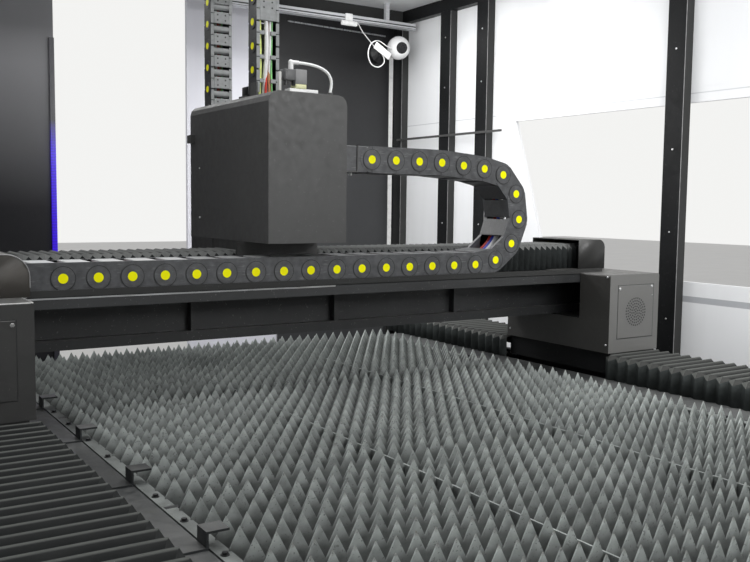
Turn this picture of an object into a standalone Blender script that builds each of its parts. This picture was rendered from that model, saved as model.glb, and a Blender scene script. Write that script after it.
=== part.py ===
"""Enclosed gantry laser cutting machine with a slatted pallet.

Units are metres and +Z is up. The origin is on the floor under the middle of the enclosure, +X runs along the
gantry beam and +Y along the bed, towards the sliding door. Left is -X and near is -Y.
"""
import math

import bmesh
import bpy
from mathutils import Matrix, Vector

for old in list(bpy.data.objects):
    bpy.data.objects.remove(old, do_unlink=True)

# Clearances and overruns
SEAT_GAP = 0.0003
SLIDE_GAP = 0.0025
WELD = 0.002
OVERRUN = 0.01

# Enclosure frame
ROOM_WIDTH = 2.752
FRAME_LENGTH = 4.92
FRAME_HEIGHT = 2.445
POST_WIDTH = 0.08
POST_DEPTH = 0.04
TOP_BEAM_HEIGHT = 0.06
SILL_HEIGHT = 0.06
PANEL_THICKNESS = 0.015
INNER_POST_SHARES = (0.8172, 0.7034, 0.2582, -0.2236, -0.7114)
ROOF_BEAM_SHARES = (0.55, -0.55)

# Side panels and their windows
PANEL_FLOOR_GAP = 0.05
PANEL_TOP_MARGIN = 0.025
WINDOW_SILL = 1.18
WINDOW_TOP = 1.88
WINDOW_LENGTH = 3.10
WINDOW_SLOPE = 0.24

# Far wall, its doorway and the sliding door
FAR_WALL_RIGHT_EDGE = 0.699
FAR_WALL_LEFT_EDGE = -0.365
DOOR_WIDTH = 1.10
DOOR_LEFT_EDGE = 0.235
DOOR_THICKNESS = 0.02
DOOR_TRACK_HEIGHT = 0.035
DOOR_TRACK_OVERLAP = 0.12
LIGHT_STRIP_WIDTH = 0.02
LIGHT_STRIP_THICKNESS = 0.014
LIGHT_STRIP_MARGIN = 0.25

# Inner half width of the bed, which everything on it takes its place from
BED_BEAM_INNER = 0.80

# Near wall and the pallet opening in it
PORT_HALF_WIDTH = BED_BEAM_INNER + 0.02
PORT_BOTTOM = 0.62
PORT_TOP = 1.25

# Lamp bar and watching camera
LAMP_LENGTH = 1.10
LAMP_WIDTH = 0.04
LAMP_HEIGHT = 0.03
LAMP_DROP = 0.115
LAMP_WALL_DISTANCE = 0.19
LAMP_SIDE_MARGIN = 0.008
HANGER_WIDTH = 0.02
HANGER_SHARE = 0.7
CAMERA_RADIUS = 0.055
CAMERA_SIDE_DISTANCE = 0.109
CAMERA_X = ROOM_WIDTH / 2 - CAMERA_SIDE_DISTANCE
CAMERA_DROP = 0.213
CAMERA_HEIGHT = FRAME_HEIGHT - CAMERA_DROP
CAMERA_WALL_DISTANCE = 0.205
CAMERA_LENS_RADIUS = 0.024
CAMERA_LENS_LENGTH = 0.012
CAMERA_BASE_RADIUS = 0.05
CAMERA_BASE_LENGTH = 0.022
CAMERA_ARM_RADIUS = 0.017

# Bed
BED_NEAR = -2.30
BED_FAR = 1.75
BED_BEAM_OUTER = BED_BEAM_INNER + 0.34
BED_BEAM_TOP = 0.858
BED_BEAM_BOTTOM = 0.04
BED_CROSS_WIDTH = 0.10
BED_CROSS_TOP = 0.45
BED_CROSS_BOTTOM = 0.25
BED_CROSS_COUNT = 5
FOOT_RADIUS = 0.05
FOOT_COUNT = 5
WALL_TIE_X = BED_BEAM_INNER + 0.17
WALL_TIE_WIDTH = 0.10
WALL_TIE_BOTTOM = 0.30
BELLOWS_STOP_THICKNESS = 0.02

# Guide rails and racks of the long axis
Y_RAIL_X = BED_BEAM_INNER + 0.17
Y_RAIL_WIDTH = 0.03
Y_RAIL_HEIGHT = 0.0297
Y_RACK_X = BED_BEAM_INNER + 0.25
Y_RACK_WIDTH = 0.03
Y_RACK_HEIGHT = 0.0277
RAIL_END_MARGIN = 0.03

# Bed edge plates and hold-down brackets
EDGE_PLATE_INNER = BED_BEAM_INNER - 0.028
EDGE_PLATE_OUTER = BED_BEAM_INNER + 0.08
EDGE_PLATE_TOP = 0.894
SHEET = 0.006
EDGE_WEB_SETBACK = 0.01
EDGE_PLATE_LENGTH = 3.24
BRACKET_COUNT = 8
BRACKET_PITCH = 0.38
BRACKET_FIRST_Y = -1.36
BRACKET_WIDTH = 0.04
BRACKET_FOOT = 0.055
BRACKET_RISE = 0.031
BRACKET_FLAG = 0.036
BRACKET_SHEET = 0.004

# Pallet tracks
TRACK_X = BED_BEAM_INNER - 0.13
TRACK_FOOT_WIDTH = 0.08
TRACK_HEAD_WIDTH = 0.05
TRACK_WEB = 0.012
TRACK_FLANGE = 0.012
TRACK_TOP = 0.66

# Pallet frame and wheels
MODULE_COUNT = 4
MODULE_LENGTH = 0.795
PALLET_BEAM_WIDTH = 0.09
PALLET_BEAM_HEIGHT = 0.08
PALLET_BEAM_BOTTOM = TRACK_TOP + 0.04
PALLET_BEAM_TOP = PALLET_BEAM_BOTTOM + PALLET_BEAM_HEIGHT
PALLET_CROSS_WIDTH = 0.06
PALLET_RIB_X = 0.2486
PALLET_RIB_WIDTH = 0.03
WHEEL_RADIUS = 0.035
WHEEL_WIDTH = 0.03
WHEEL_COUNT = 5
WHEEL_SIDES = 12
WHEEL_END_MARGIN = 0.10
PALLET_TRAVEL = 1.6

# Slat modules
MODULE_HALF_WIDTH = BED_BEAM_INNER - 0.032
SIDE_BAR_WIDTH = 0.02
MODULE_HEIGHT = 0.114
MODULE_TOP = PALLET_BEAM_TOP + MODULE_HEIGHT
CROSS_PLATE = 0.008
SLAT_COUNT = 6
SLAT_THICKNESS = 0.003
SLAT_BOTTOM = MODULE_TOP - 0.059
TOOTH_COUNT = 39
TOOTH_FIELD_MARGIN = 0.0223
TOOTH_PITCH = 2 * (MODULE_HALF_WIDTH - TOOTH_FIELD_MARGIN) / TOOTH_COUNT
TOOTH_HEIGHT = 0.037
TOOTH_VALLEY = MODULE_TOP + 0.002
TOOTH_TIP = TOOTH_VALLEY + TOOTH_HEIGHT

# Folded bellows of the long axis
Y_BELLOWS_INNER = BED_BEAM_INNER + 0.068
Y_BELLOWS_OUTER = BED_BEAM_INNER + 0.32
Y_BELLOWS_TOP = 0.975
Y_BELLOWS_FOLD_PITCH = 0.0415
Y_BELLOWS_FOLD_DEPTH = 0.018

# Gantry
GANTRY_Y = 0.695
COVER_HALF_LENGTH = 0.245
COVER_INNER = BED_BEAM_INNER + 0.086
COVER_OUTER = BED_BEAM_INNER + 0.319
COVER_BOTTOM = 0.975
COVER_TOP = 1.23
COVER_SHEET = 0.003
COVER_ROUNDING = 0.006
PASSAGE_GAP = 0.002
SADDLE_INNER = BED_BEAM_INNER + 0.10
SADDLE_OUTER = BED_BEAM_INNER + 0.31
SADDLE_BOTTOM = 0.905
GUIDE_BLOCK_INNER = BED_BEAM_INNER + 0.13
GUIDE_BLOCK_OUTER = BED_BEAM_INNER + 0.21
GUIDE_BLOCK_BOTTOM = 0.868
BEAM_BOTTOM = 1.079
BEAM_TOP = 1.226
BEAM_BACK = 0.235
BEAM_FLANGE_FRONT = 0.015
BEAM_FLANGE_HEIGHT = 0.027
BEAM_WEB_FRONT = 0.04
TRAY_FRONT = -0.111
TRAY_SHEET = 0.005
TRAY_LIP_HEIGHT = 0.028
BEAM_RIB_COUNT = 3
BEAM_RIB_PITCH = 0.443
BEAM_RIB_CENTRE = 0.018
BEAM_RIB_THICKNESS = 0.012
BEAM_END = BED_BEAM_INNER + 0.29
PINION_RADIUS = 0.02
PINION_ROOT = 0.0165
PINION_TEETH = 11
PINION_HEIGHT = 0.024
PINION_SHAFT_RADIUS = 0.006
PINION_TOP_SHARE = 0.45

# Hoods on the beam ends
HOOD_RIGHT_TOP = 1.333
HOOD_RIGHT_FRONT = 0.0
HOOD_RIGHT_INNER = COVER_OUTER - 0.129
HOOD_LEFT_TOP = 1.325
HOOD_LEFT_FRONT = -0.125
HOOD_RIGHT_ROUNDING = 0.03
HOOD_LEFT_ROUNDING = 0.05

# Guide rail, rack and bellows of the cross axis
X_RAIL_FRONT = 0.10
X_RAIL_WIDTH = 0.025
X_RAIL_TOP = 1.27
X_RACK_FRONT = 0.17
X_RACK_WIDTH = 0.025
X_RACK_HEIGHT = 0.0357
X_BELLOWS_FRONT = 0.045
X_BELLOWS_BACK = 0.225
X_BELLOWS_TOP = 1.318
X_BELLOWS_FOLD_PITCH = 0.0255
X_BELLOWS_FOLD_DEPTH = 0.025

# Carriage
CARRIAGE_X = -0.148
CARRIAGE_HALF_WIDTH = 0.117
CARRIAGE_TOP = 1.3417
CARRIAGE_UNDERSIDE = 1.285
CARRIAGE_BLOCK_MARGIN = 0.02
CARRIAGE_BLOCK_BOTTOM = 1.24
APRON_THICKNESS = 0.0245
APRON_BOTTOM = 1.10
BOX_HALF_WIDTH = 0.119
BOX_FRONT = -0.115
BOX_BACK = 0.435
BOX_BOTTOM = 1.342
BOX_TOP = 1.743
BOX_SHEET = 0.003
BOX_ROUNDING = 0.028
CLIP_WIDTH = 0.036
CLIP_HEIGHT = 0.025
CLIP_DEPTH = 0.012
CLIP_BOTTOM = 1.63
CABLE_CLAMP_HEIGHT = 0.048
CABLE_CLAMP_WIDTH = 0.04
CABLE_CLAMP_X = -0.095
CABLE_CLAMP_Y = 0.085
CABLE_CLAMP_SHEET = 0.004

# Valve and air hose on the cover box
VALVE_Y = -0.075
VALVE_DEPTH = 0.03
VALVE_PLATE_LEFT = -0.045
VALVE_PLATE_RIGHT = 0.042
VALVE_PLATE_HEIGHT = 0.0115
COIL_LEFT = -0.019
COIL_RIGHT = 0.017
COIL_TOP = BOX_TOP + 0.062
BODY_LEFT = -0.0617
BODY_BOTTOM = BOX_TOP + 0.0325
BLOCK_LEFT = -0.071
BLOCK_TOP = BOX_TOP + 0.053
ELBOW_X = -0.034
ELBOW_RADIUS = 0.007
ELBOW_RISE = 0.02
ELBOW_AXIS_HEIGHT = COIL_TOP + ELBOW_RISE
ELBOW_REACH = 0.021
HOSE_RADIUS = 0.004
HOSE_STRAIGHT = 0.004
FITTING_X = 0.088
FITTING_RADIUS = 0.007
FITTING_HEIGHT = 0.010

# Drag chain of the cross axis
CHAIN_PITCH = 0.083
CHAIN_HEIGHT = 0.075
CHAIN_FRONT = -0.095
CHAIN_WIDTH = 0.09
CHAIN_LOWER_Z = 1.267
CHAIN_UPPER_Z = 1.575
CHAIN_BEND_X = 0.470
CHAIN_END_GAP = 0.0005
CHAIN_WAIST = 0.008
CHAIN_WAIST_SHARE = 0.3
CHAIN_BRACKET_REACH = 0.05
CHAIN_BRACKET_SHEET = 0.004

# Drag chain of the vertical axis
Z_CHAIN_PITCH = 0.0685
Z_CHAIN_HEIGHT = 0.056
Z_CHAIN_LEFT = -0.05
Z_CHAIN_WIDTH = 0.073
Z_CHAIN_NEAR_Y = 0.133
Z_CHAIN_FAR_Y = 0.465
Z_CHAIN_BEND_Z = 2.06
Z_CHAIN_END_Z = 1.30

# Vertical slide and cutting head
SLIDE_PLATE_HALF_WIDTH = 0.06
SLIDE_PLATE_THICKNESS = 0.0177
SLIDE_PLATE_BOTTOM = 1.12
SLIDE_PLATE_TOP = 1.62
HEAD_HALF_WIDTH = 0.045
HEAD_DEPTH = 0.10
HEAD_TOP = 1.42
HEAD_ROUNDING = 0.008
COLLIMATOR_RADIUS = 0.035
COLLIMATOR_TOP = 1.58
NOZZLE_TIP = 1.06
NOZZLE_FLANGE_RADIUS = 0.032
NOZZLE_FLANGE_HEIGHT = 0.016
NOZZLE_TIP_RADIUS = 0.006
LINK_SHELF_THICKNESS = 0.03

ROUND_SIDES = 14
ROUNDING_STEPS = 3

BLACK = (0.018, 0.018, 0.020)
DARK_GREY = (0.045, 0.046, 0.050)
WHITE = (0.82, 0.83, 0.84)
STEEL = (0.50, 0.51, 0.52)
ZINC = (0.36, 0.39, 0.38)
BELLOWS_GREY = (0.060, 0.066, 0.064)
CHAIN_GREY = (0.040, 0.041, 0.044)
BLUE = (0.05, 0.05, 0.85)
GREEN_GREY = (0.20, 0.22, 0.22)


def material(name, colour, roughness, metallic=0.0):
    """Return a plain Principled material, made once for each name."""
    finish = bpy.data.materials.get(name)
    if finish is None:
        finish = bpy.data.materials.new(name)
        finish.use_nodes = True
        shader = finish.node_tree.nodes["Principled BSDF"]
        shader.inputs["Base Color"].default_value = (*colour, 1.0)
        shader.inputs["Roughness"].default_value = roughness
        shader.inputs["Metallic"].default_value = metallic
    return finish


def black_paint():
    return material("black_paint", BLACK, 0.35)


def grey_paint():
    return material("grey_paint", DARK_GREY, 0.5)


def white_paint():
    return material("white_paint", WHITE, 0.4)


def steel():
    return material("steel", STEEL, 0.3, 1.0)


def zinc():
    return material("zinc", ZINC, 0.5, 0.6)


def bellows_cloth():
    return material("bellows_cloth", BELLOWS_GREY, 0.7)


def chain_plastic():
    return material("chain_plastic", CHAIN_GREY, 0.45)


def finish_object(name, bm, finish, parent=None, smooth=False):
    """Close the mesh with outward faces and put it in the scene."""
    bmesh.ops.recalc_face_normals(bm, faces=bm.faces)
    mesh = bpy.data.meshes.new(name)
    bm.to_mesh(mesh)
    bm.free()
    if smooth:
        mesh.shade_smooth()
        mesh.set_sharp_from_angle(angle=math.radians(35))
    obj = bpy.data.objects.new(name, mesh)
    obj.data.materials.append(finish)
    bpy.context.scene.collection.objects.link(obj)
    obj.parent = parent
    return obj


def prism(name, outline, axis, start, end, finish, parent=None, smooth=False):
    """Extrude a flat outline along X, Y or Z; the outline lies in the other two axes, in their order."""
    bm = bmesh.new()
    place = {"X": lambda a, b: (start, a, b), "Y": lambda a, b: (a, start, b), "Z": lambda a, b: (a, b, start)}
    ring = [bm.verts.new(place[axis](a, b)) for a, b in outline]
    face = bm.faces.new(ring)
    grown = bmesh.ops.extrude_face_region(bm, geom=[face])
    shift = {"X": (end - start, 0, 0), "Y": (0, end - start, 0), "Z": (0, 0, end - start)}[axis]
    moved = [item for item in grown["geom"] if isinstance(item, bmesh.types.BMVert)]
    bmesh.ops.translate(bm, verts=moved, vec=shift)
    return finish_object(name, bm, finish, parent, smooth)


def block(name, low, high, finish, parent=None):
    """A rectangular bar between two corners."""
    outline = rectangle(low[0], low[1], high[0], high[1])
    return prism(name, outline, "Z", low[2], high[2], finish, parent)


def rectangle(left, bottom, right, top):
    return [(left, bottom), (right, bottom), (right, top), (left, top)]


def rounded_top(left, bottom, right, top, left_radius, right_radius):
    """A rectangle whose two upper corners are arcs."""
    points = [(left, bottom), (right, bottom)]
    for centre_x, radius, first in ((right - right_radius, right_radius, 0.0),
                                    (left + left_radius, left_radius, math.pi / 2)):
        if radius == 0:
            points.append((centre_x, top))
            continue
        for step in range(ROUNDING_STEPS + 1):
            angle = first + math.pi / 2 * step / ROUNDING_STEPS
            points.append((centre_x + radius * math.cos(angle), top - radius + radius * math.sin(angle)))
    return points


def circle(radius, centre=(0, 0), sides=ROUND_SIDES):
    return [(centre[0] + radius * math.cos(math.tau * k / sides),
             centre[1] + radius * math.sin(math.tau * k / sides)) for k in range(sides)]


def turned(name, profile, finish, parent=None, location=(0, 0, 0), sides=ROUND_SIDES):
    """Spin an (radius, height) profile that starts and ends on the axis."""
    bm = bmesh.new()
    verts = [bm.verts.new((radius, 0, height)) for radius, height in profile]
    edges = [bm.edges.new(pair) for pair in zip(verts, verts[1:])]
    bmesh.ops.spin(bm, geom=verts + edges, axis=(0, 0, 1), cent=(0, 0, 0), steps=sides,
                   angle=math.tau, use_merge=True)
    bmesh.ops.remove_doubles(bm, verts=bm.verts, dist=SEAT_GAP / 10)
    obj = finish_object(name, bm, finish, parent, smooth=True)
    obj.location = location
    return obj


def helper(obj):
    """Mark an object as a tool for a Boolean, left out of the model."""
    obj.hide_render = True
    obj.display_type = "WIRE"
    return obj


def combine(target, tools, operation):
    for tool in tools:
        change = target.modifiers.new(operation.lower(), "BOOLEAN")
        change.operation = operation
        change.solver = "EXACT"
        change.object = helper(tool)
    return target


def fuse(target, tools):
    return combine(target, tools, "UNION")


def cut(target, tools):
    return combine(target, tools, "DIFFERENCE")


def empty(name, location, parent=None):
    frame = bpy.data.objects.new(name, None)
    frame.location = location
    frame.parent = parent
    bpy.context.scene.collection.objects.link(frame)
    return frame


def sides():
    return (("left", -1), ("right", 1))


def between(a, b):
    """The two values in rising order, so that a mirrored piece keeps its low corner first."""
    return min(a, b), max(a, b)


def mirrored(outline, sign):
    return [(sign * a, b) for a, b in outline]


# Enclosure

HALF_ROOM = ROOM_WIDTH / 2
HALF_FRAME = FRAME_LENGTH / 2
FRAME_OUTER = HALF_ROOM + POST_DEPTH
BEAM_UNDERSIDE = FRAME_HEIGHT - TOP_BEAM_HEIGHT
FAR_DEPTH = PANEL_THICKNESS + DOOR_THICKNESS + 3 * SEAT_GAP
NEAR_DEPTH = PANEL_THICKNESS + SEAT_GAP
ENCLOSURE_Y = -(FAR_DEPTH - NEAR_DEPTH) / 2
PANEL_BOTTOM = PANEL_FLOOR_GAP
PANEL_TOP = FRAME_HEIGHT - PANEL_TOP_MARGIN
PANEL_INNER = FRAME_OUTER + SEAT_GAP


def post_centres():
    ends = HALF_FRAME - POST_WIDTH / 2
    return [ends] + [share * HALF_FRAME for share in INNER_POST_SHARES] + [-ends]


def side_frame(side, sign, room):
    """The posts of one side, standing on a sill."""
    low, high = between(sign * HALF_ROOM, sign * FRAME_OUTER)
    sill = block(f"enclosure_frame_{side}", (low, -HALF_FRAME, 0), (high, HALF_FRAME, SILL_HEIGHT),
                 black_paint(), room)
    posts = []
    for number, centre in enumerate(post_centres()):
        posts.append(block(f"post_{side}_{number}", (low, centre - POST_WIDTH / 2, SILL_HEIGHT - WELD),
                           (high, centre + POST_WIDTH / 2, BEAM_UNDERSIDE - SEAT_GAP), black_paint(), room))
    return fuse(sill, posts)


def roof_frame(room):
    """Two long beams on the posts, tied by cross beams."""
    frame = block("roof_frame", (-FRAME_OUTER, -HALF_FRAME, BEAM_UNDERSIDE),
                  (-HALF_ROOM, HALF_FRAME, FRAME_HEIGHT), black_paint(), room)
    parts = [block("roof_beam_right", (HALF_ROOM, -HALF_FRAME, BEAM_UNDERSIDE),
                   (FRAME_OUTER, HALF_FRAME, FRAME_HEIGHT), black_paint(), room)]
    ends = HALF_FRAME - POST_WIDTH / 2
    centres = [ends] + [share * HALF_FRAME for share in ROOF_BEAM_SHARES] + [-ends]
    for number, centre in enumerate(centres):
        parts.append(block(f"roof_cross_{number}",
                           (-HALF_ROOM - WELD, centre - POST_WIDTH / 2, BEAM_UNDERSIDE),
                           (HALF_ROOM + WELD, centre + POST_WIDTH / 2, FRAME_HEIGHT), black_paint(), room))
    return fuse(frame, parts)


def roof_panels(room):
    for name, direction in (("roof_panel_far", 1), ("roof_panel_near", -1)):
        inner = max(ROOF_BEAM_SHARES) * HALF_FRAME
        low, high = between(direction * inner, direction * HALF_FRAME)
        block(name, (-FRAME_OUTER, low, FRAME_HEIGHT + SEAT_GAP),
              (FRAME_OUTER, high, FRAME_HEIGHT + SEAT_GAP + PANEL_THICKNESS), white_paint(), room)


def side_panels(side, sign, room):
    """A long upper panel, and a lower panel with the window cut into its upper edge."""
    start, end = between(sign * PANEL_INNER, sign * (PANEL_INNER + PANEL_THICKNESS))
    half = HALF_FRAME
    prism(f"side_panel_upper_{side}", rectangle(-half, WINDOW_TOP, half, PANEL_TOP), "X", start, end,
          white_paint(), room)
    top = WINDOW_TOP - SEAT_GAP
    window = WINDOW_LENGTH / 2
    outline = [(-half, PANEL_BOTTOM), (half, PANEL_BOTTOM), (half, top), (window, top),
               (window - WINDOW_SLOPE, WINDOW_SILL), (WINDOW_SLOPE - window, WINDOW_SILL), (-window, top),
               (-half, top)]
    prism(f"side_panel_lower_{side}", outline, "X", start, end, white_paint(), room)


def far_wall(room):
    """Two black panels beside the doorway, and the strip of light on the left one's edge."""
    inner = HALF_FRAME + SEAT_GAP
    outer = inner + PANEL_THICKNESS
    block("far_wall_left", (-FRAME_OUTER, inner, PANEL_BOTTOM), (FAR_WALL_LEFT_EDGE, outer, PANEL_TOP),
          black_paint(), room)
    block("far_wall_right", (FAR_WALL_RIGHT_EDGE, inner, PANEL_BOTTOM), (FRAME_OUTER, outer, PANEL_TOP),
          black_paint(), room)
    block("light_strip", (FAR_WALL_LEFT_EDGE - LIGHT_STRIP_WIDTH, inner - SEAT_GAP - LIGHT_STRIP_THICKNESS,
                          PANEL_BOTTOM + LIGHT_STRIP_MARGIN),
          (FAR_WALL_LEFT_EDGE, inner - SEAT_GAP, BEAM_UNDERSIDE - LIGHT_STRIP_MARGIN),
          material("blue_light", BLUE, 0.3), room)


def sliding_door(room):
    """A leaf that hangs under a track on the outside of the far wall."""
    inner = HALF_FRAME + PANEL_THICKNESS + 2 * SEAT_GAP
    outer = inner + DOOR_THICKNESS
    track_bottom = PANEL_TOP - DOOR_TRACK_HEIGHT
    block("door_track", (FAR_WALL_LEFT_EDGE - DOOR_TRACK_OVERLAP, inner, track_bottom),
          (FRAME_OUTER, outer, PANEL_TOP), black_paint(), room)
    hanger = empty("door_slide_frame", (DOOR_LEFT_EDGE, 0, 0), room)
    block("sliding_door", (0, inner, PANEL_BOTTOM), (DOOR_WIDTH, outer, track_bottom - SEAT_GAP),
          white_paint(), hanger)


def near_wall(room):
    """The wall that the pallet passes through."""
    outer = -HALF_FRAME - SEAT_GAP - PANEL_THICKNESS
    inner = -HALF_FRAME - SEAT_GAP
    wall = block("near_wall", (-FRAME_OUTER, outer, PANEL_BOTTOM), (FRAME_OUTER, inner, PANEL_TOP),
                 white_paint(), room)
    port = block("pallet_port", (-PORT_HALF_WIDTH, outer - OVERRUN, PORT_BOTTOM),
                 (PORT_HALF_WIDTH, inner + OVERRUN, PORT_TOP), white_paint(), room)
    return cut(wall, [port])


def lamp_bar(room):
    """A lamp profile on two hangers under the roof panel."""
    right = HALF_ROOM - LAMP_SIDE_MARGIN
    left = right - LAMP_LENGTH
    centre_y = HALF_FRAME - LAMP_WALL_DISTANCE
    bottom = FRAME_HEIGHT - LAMP_DROP
    bar = block("lamp_bar", (left, centre_y - LAMP_WIDTH / 2, bottom),
                (right, centre_y + LAMP_WIDTH / 2, bottom + LAMP_HEIGHT), steel(), room)
    hangers = []
    for sign in (-1, 1):
        centre = (left + right) / 2 + sign * HANGER_SHARE * LAMP_LENGTH / 2
        hangers.append(block(f"lamp_hanger_{sign}",
                             (centre - HANGER_WIDTH / 2, centre_y - HANGER_WIDTH / 2, bottom + LAMP_HEIGHT - WELD),
                             (centre + HANGER_WIDTH / 2, centre_y + HANGER_WIDTH / 2, FRAME_HEIGHT),
                             steel(), room))
    return fuse(bar, hangers)


def watching_camera(room):
    """A ball camera in front of an arm on the far wall; the ball turns about its own centre."""
    wall = HALF_FRAME
    profile = [(0, 0), (CAMERA_BASE_RADIUS, 0), (CAMERA_BASE_RADIUS, CAMERA_BASE_LENGTH),
               (CAMERA_ARM_RADIUS, CAMERA_BASE_LENGTH + CAMERA_ARM_RADIUS),
               (CAMERA_ARM_RADIUS, CAMERA_WALL_DISTANCE - CAMERA_RADIUS - SEAT_GAP),
               (0, CAMERA_WALL_DISTANCE - CAMERA_RADIUS - SEAT_GAP)]
    arm = turned("camera_arm", profile, white_paint(), room, (CAMERA_X, wall, CAMERA_HEIGHT))
    arm.rotation_euler = (math.pi / 2, 0, 0)
    steps = ROUND_SIDES // 2
    lens = CAMERA_LENS_RADIUS
    lens_angle = math.asin(lens / CAMERA_RADIUS)
    ball = []
    for k in range(steps):
        angle = math.pi - (math.pi - lens_angle) * k / steps
        ball.append((CAMERA_RADIUS * math.sin(angle), CAMERA_RADIUS * math.cos(angle)))
    rim = CAMERA_RADIUS * math.cos(lens_angle)
    ball += [(lens, rim), (lens, rim + CAMERA_LENS_LENGTH), (0, rim + CAMERA_LENS_LENGTH)]
    ball[0] = (0, -CAMERA_RADIUS)
    pivot = empty("camera_pivot", (CAMERA_X, wall - CAMERA_WALL_DISTANCE, CAMERA_HEIGHT), room)
    head = turned("camera_ball", ball, white_paint(), pivot)
    head.rotation_euler = (math.pi / 2, 0, 0)


# Bed


def even_places(low, high, count):
    return [low + (high - low) * k / (count - 1) for k in range(count)]


def near_wall_face():
    return ENCLOSURE_Y - HALF_FRAME - SEAT_GAP


def bed_frame():
    """Two welded side beams on feet, tied by cross members and to the near wall, with a stop at each bellows end."""
    beams = []
    for side, sign in sides():
        low, high = between(sign * BED_BEAM_INNER, sign * BED_BEAM_OUTER)
        beams.append(block(f"bed_beam_{side}", (low, BED_NEAR, BED_BEAM_BOTTOM), (high, BED_FAR, BED_BEAM_TOP),
                           black_paint()))
        centre = (low + high) / 2
        for number, y in enumerate(even_places(BED_NEAR + POST_WIDTH, BED_FAR - POST_WIDTH, FOOT_COUNT)):
            beams.append(prism(f"foot_{side}_{number}", circle(FOOT_RADIUS, (centre, y), 8), "Z", 0,
                               BED_BEAM_BOTTOM + WELD, black_paint()))
        stop_low, stop_high = between(sign * Y_BELLOWS_INNER, sign * Y_BELLOWS_OUTER)
        for end, y in (("near", BED_NEAR), ("far", BED_FAR - BELLOWS_STOP_THICKNESS)):
            beams.append(block(f"bellows_stop_{side}_{end}", (stop_low, y, BED_BEAM_TOP - WELD),
                               (stop_high, y + BELLOWS_STOP_THICKNESS, Y_BELLOWS_TOP), black_paint()))
        tie_low = sign * WALL_TIE_X - WALL_TIE_WIDTH / 2
        beams.append(block(f"wall_tie_{side}", (tie_low, near_wall_face() + SEAT_GAP, WALL_TIE_BOTTOM),
                           (tie_low + WALL_TIE_WIDTH, BED_NEAR + WELD, WALL_TIE_BOTTOM + WALL_TIE_WIDTH),
                           black_paint()))
    for number, y in enumerate(bed_cross_places()):
        beams.append(block(f"bed_cross_{number}",
                           (-BED_BEAM_INNER - WELD, y - BED_CROSS_WIDTH / 2, BED_CROSS_BOTTOM),
                           (BED_BEAM_INNER + WELD, y + BED_CROSS_WIDTH / 2, BED_CROSS_TOP), black_paint()))
    beams[0].name = "bed_frame"
    return fuse(beams[0], beams[1:])


def bed_cross_places():
    inset = BED_CROSS_WIDTH / 2
    return even_places(BED_NEAR + inset, BED_FAR - inset, BED_CROSS_COUNT)


def long_rails(side, sign):
    """The guide rail and the rack on one bed beam."""
    near = BED_NEAR + BELLOWS_STOP_THICKNESS + RAIL_END_MARGIN
    far = BED_FAR - BELLOWS_STOP_THICKNESS - RAIL_END_MARGIN
    foot = BED_BEAM_TOP + SEAT_GAP
    for name, centre, width, height in (("y_guide_rail", Y_RAIL_X, Y_RAIL_WIDTH, Y_RAIL_HEIGHT),
                                        ("y_rack", Y_RACK_X, Y_RACK_WIDTH, Y_RACK_HEIGHT)):
        low = sign * centre - width / 2
        block(f"{name}_{side}", (low, near, foot), (low + width, far, foot + height), steel())


def edge_plate(side, sign):
    """A folded plate along the pallet gap: a flat top on a web that stands on the bed beam."""
    top, under = EDGE_PLATE_TOP, EDGE_PLATE_TOP - SHEET
    web = BED_BEAM_INNER + EDGE_WEB_SETBACK
    foot = BED_BEAM_TOP + SEAT_GAP
    outline = [(EDGE_PLATE_INNER, under), (web, under), (web, foot), (web + SHEET, foot), (web + SHEET, under),
               (EDGE_PLATE_OUTER, under), (EDGE_PLATE_OUTER, top), (EDGE_PLATE_INNER, top)]
    half = EDGE_PLATE_LENGTH / 2
    plate = prism(f"bed_plate_{side}", mirrored(outline, sign), "Y", -half, half, grey_paint())
    return plate


def hold_down_brackets(sign):
    """Folded brackets whose flags reach over the pallet edge."""
    inner = EDGE_PLATE_INNER
    foot = EDGE_PLATE_TOP - WELD
    sheet = BRACKET_SHEET
    top = EDGE_PLATE_TOP + BRACKET_RISE
    outline = [(inner + BRACKET_FOOT, foot), (inner + BRACKET_FOOT, EDGE_PLATE_TOP + sheet),
               (inner + sheet, EDGE_PLATE_TOP + sheet), (inner + sheet, top), (inner - BRACKET_FLAG, top),
               (inner - BRACKET_FLAG, top - sheet), (inner, top - sheet), (inner, foot)]
    brackets = []
    for number in range(BRACKET_COUNT):
        centre = BRACKET_FIRST_Y + number * BRACKET_PITCH
        brackets.append(prism(f"hold_down_bracket_{number}", mirrored(outline, sign), "Y",
                              centre - BRACKET_WIDTH / 2, centre + BRACKET_WIDTH / 2, black_paint()))
    return brackets


def pallet_track(side, sign):
    """A rolled rail on the cross members: foot, web and head."""
    bottom = BED_CROSS_TOP + SEAT_GAP
    foot, web, head = TRACK_FOOT_WIDTH / 2, TRACK_WEB / 2, TRACK_HEAD_WIDTH / 2
    half = [(foot, bottom), (foot, bottom + TRACK_FLANGE), (web, bottom + TRACK_FLANGE),
            (web, TRACK_TOP - TRACK_FLANGE), (head, TRACK_TOP - TRACK_FLANGE), (head, TRACK_TOP)]
    outline = half + [(-a, b) for a, b in reversed(half)]
    outline = [(sign * TRACK_X + a, b) for a, b in outline]
    prism(f"pallet_track_{side}", outline, "Y", BED_NEAR, BED_FAR, steel())


# Folded bellows

def folded_cover(name, axis, start, end, side_low, side_high, bottom, top, pitch, depth, parent=None):
    """A cover whose top is pleated across its travel; the last pleats fill the length evenly."""
    count = max(2, round((end - start) / pitch))
    step = (end - start) / count
    outline = [(start, bottom)]
    for fold in range(count):
        outline.append((start + fold * step, top - depth))
        outline.append((start + (fold + 0.5) * step, top))
    outline += [(end, top - depth), (end, bottom)]
    if axis == "Y":
        return prism(name, outline, "X", side_low, side_high, bellows_cloth(), parent)
    return prism(name, outline, "Y", side_low, side_high, bellows_cloth(), parent)


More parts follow.
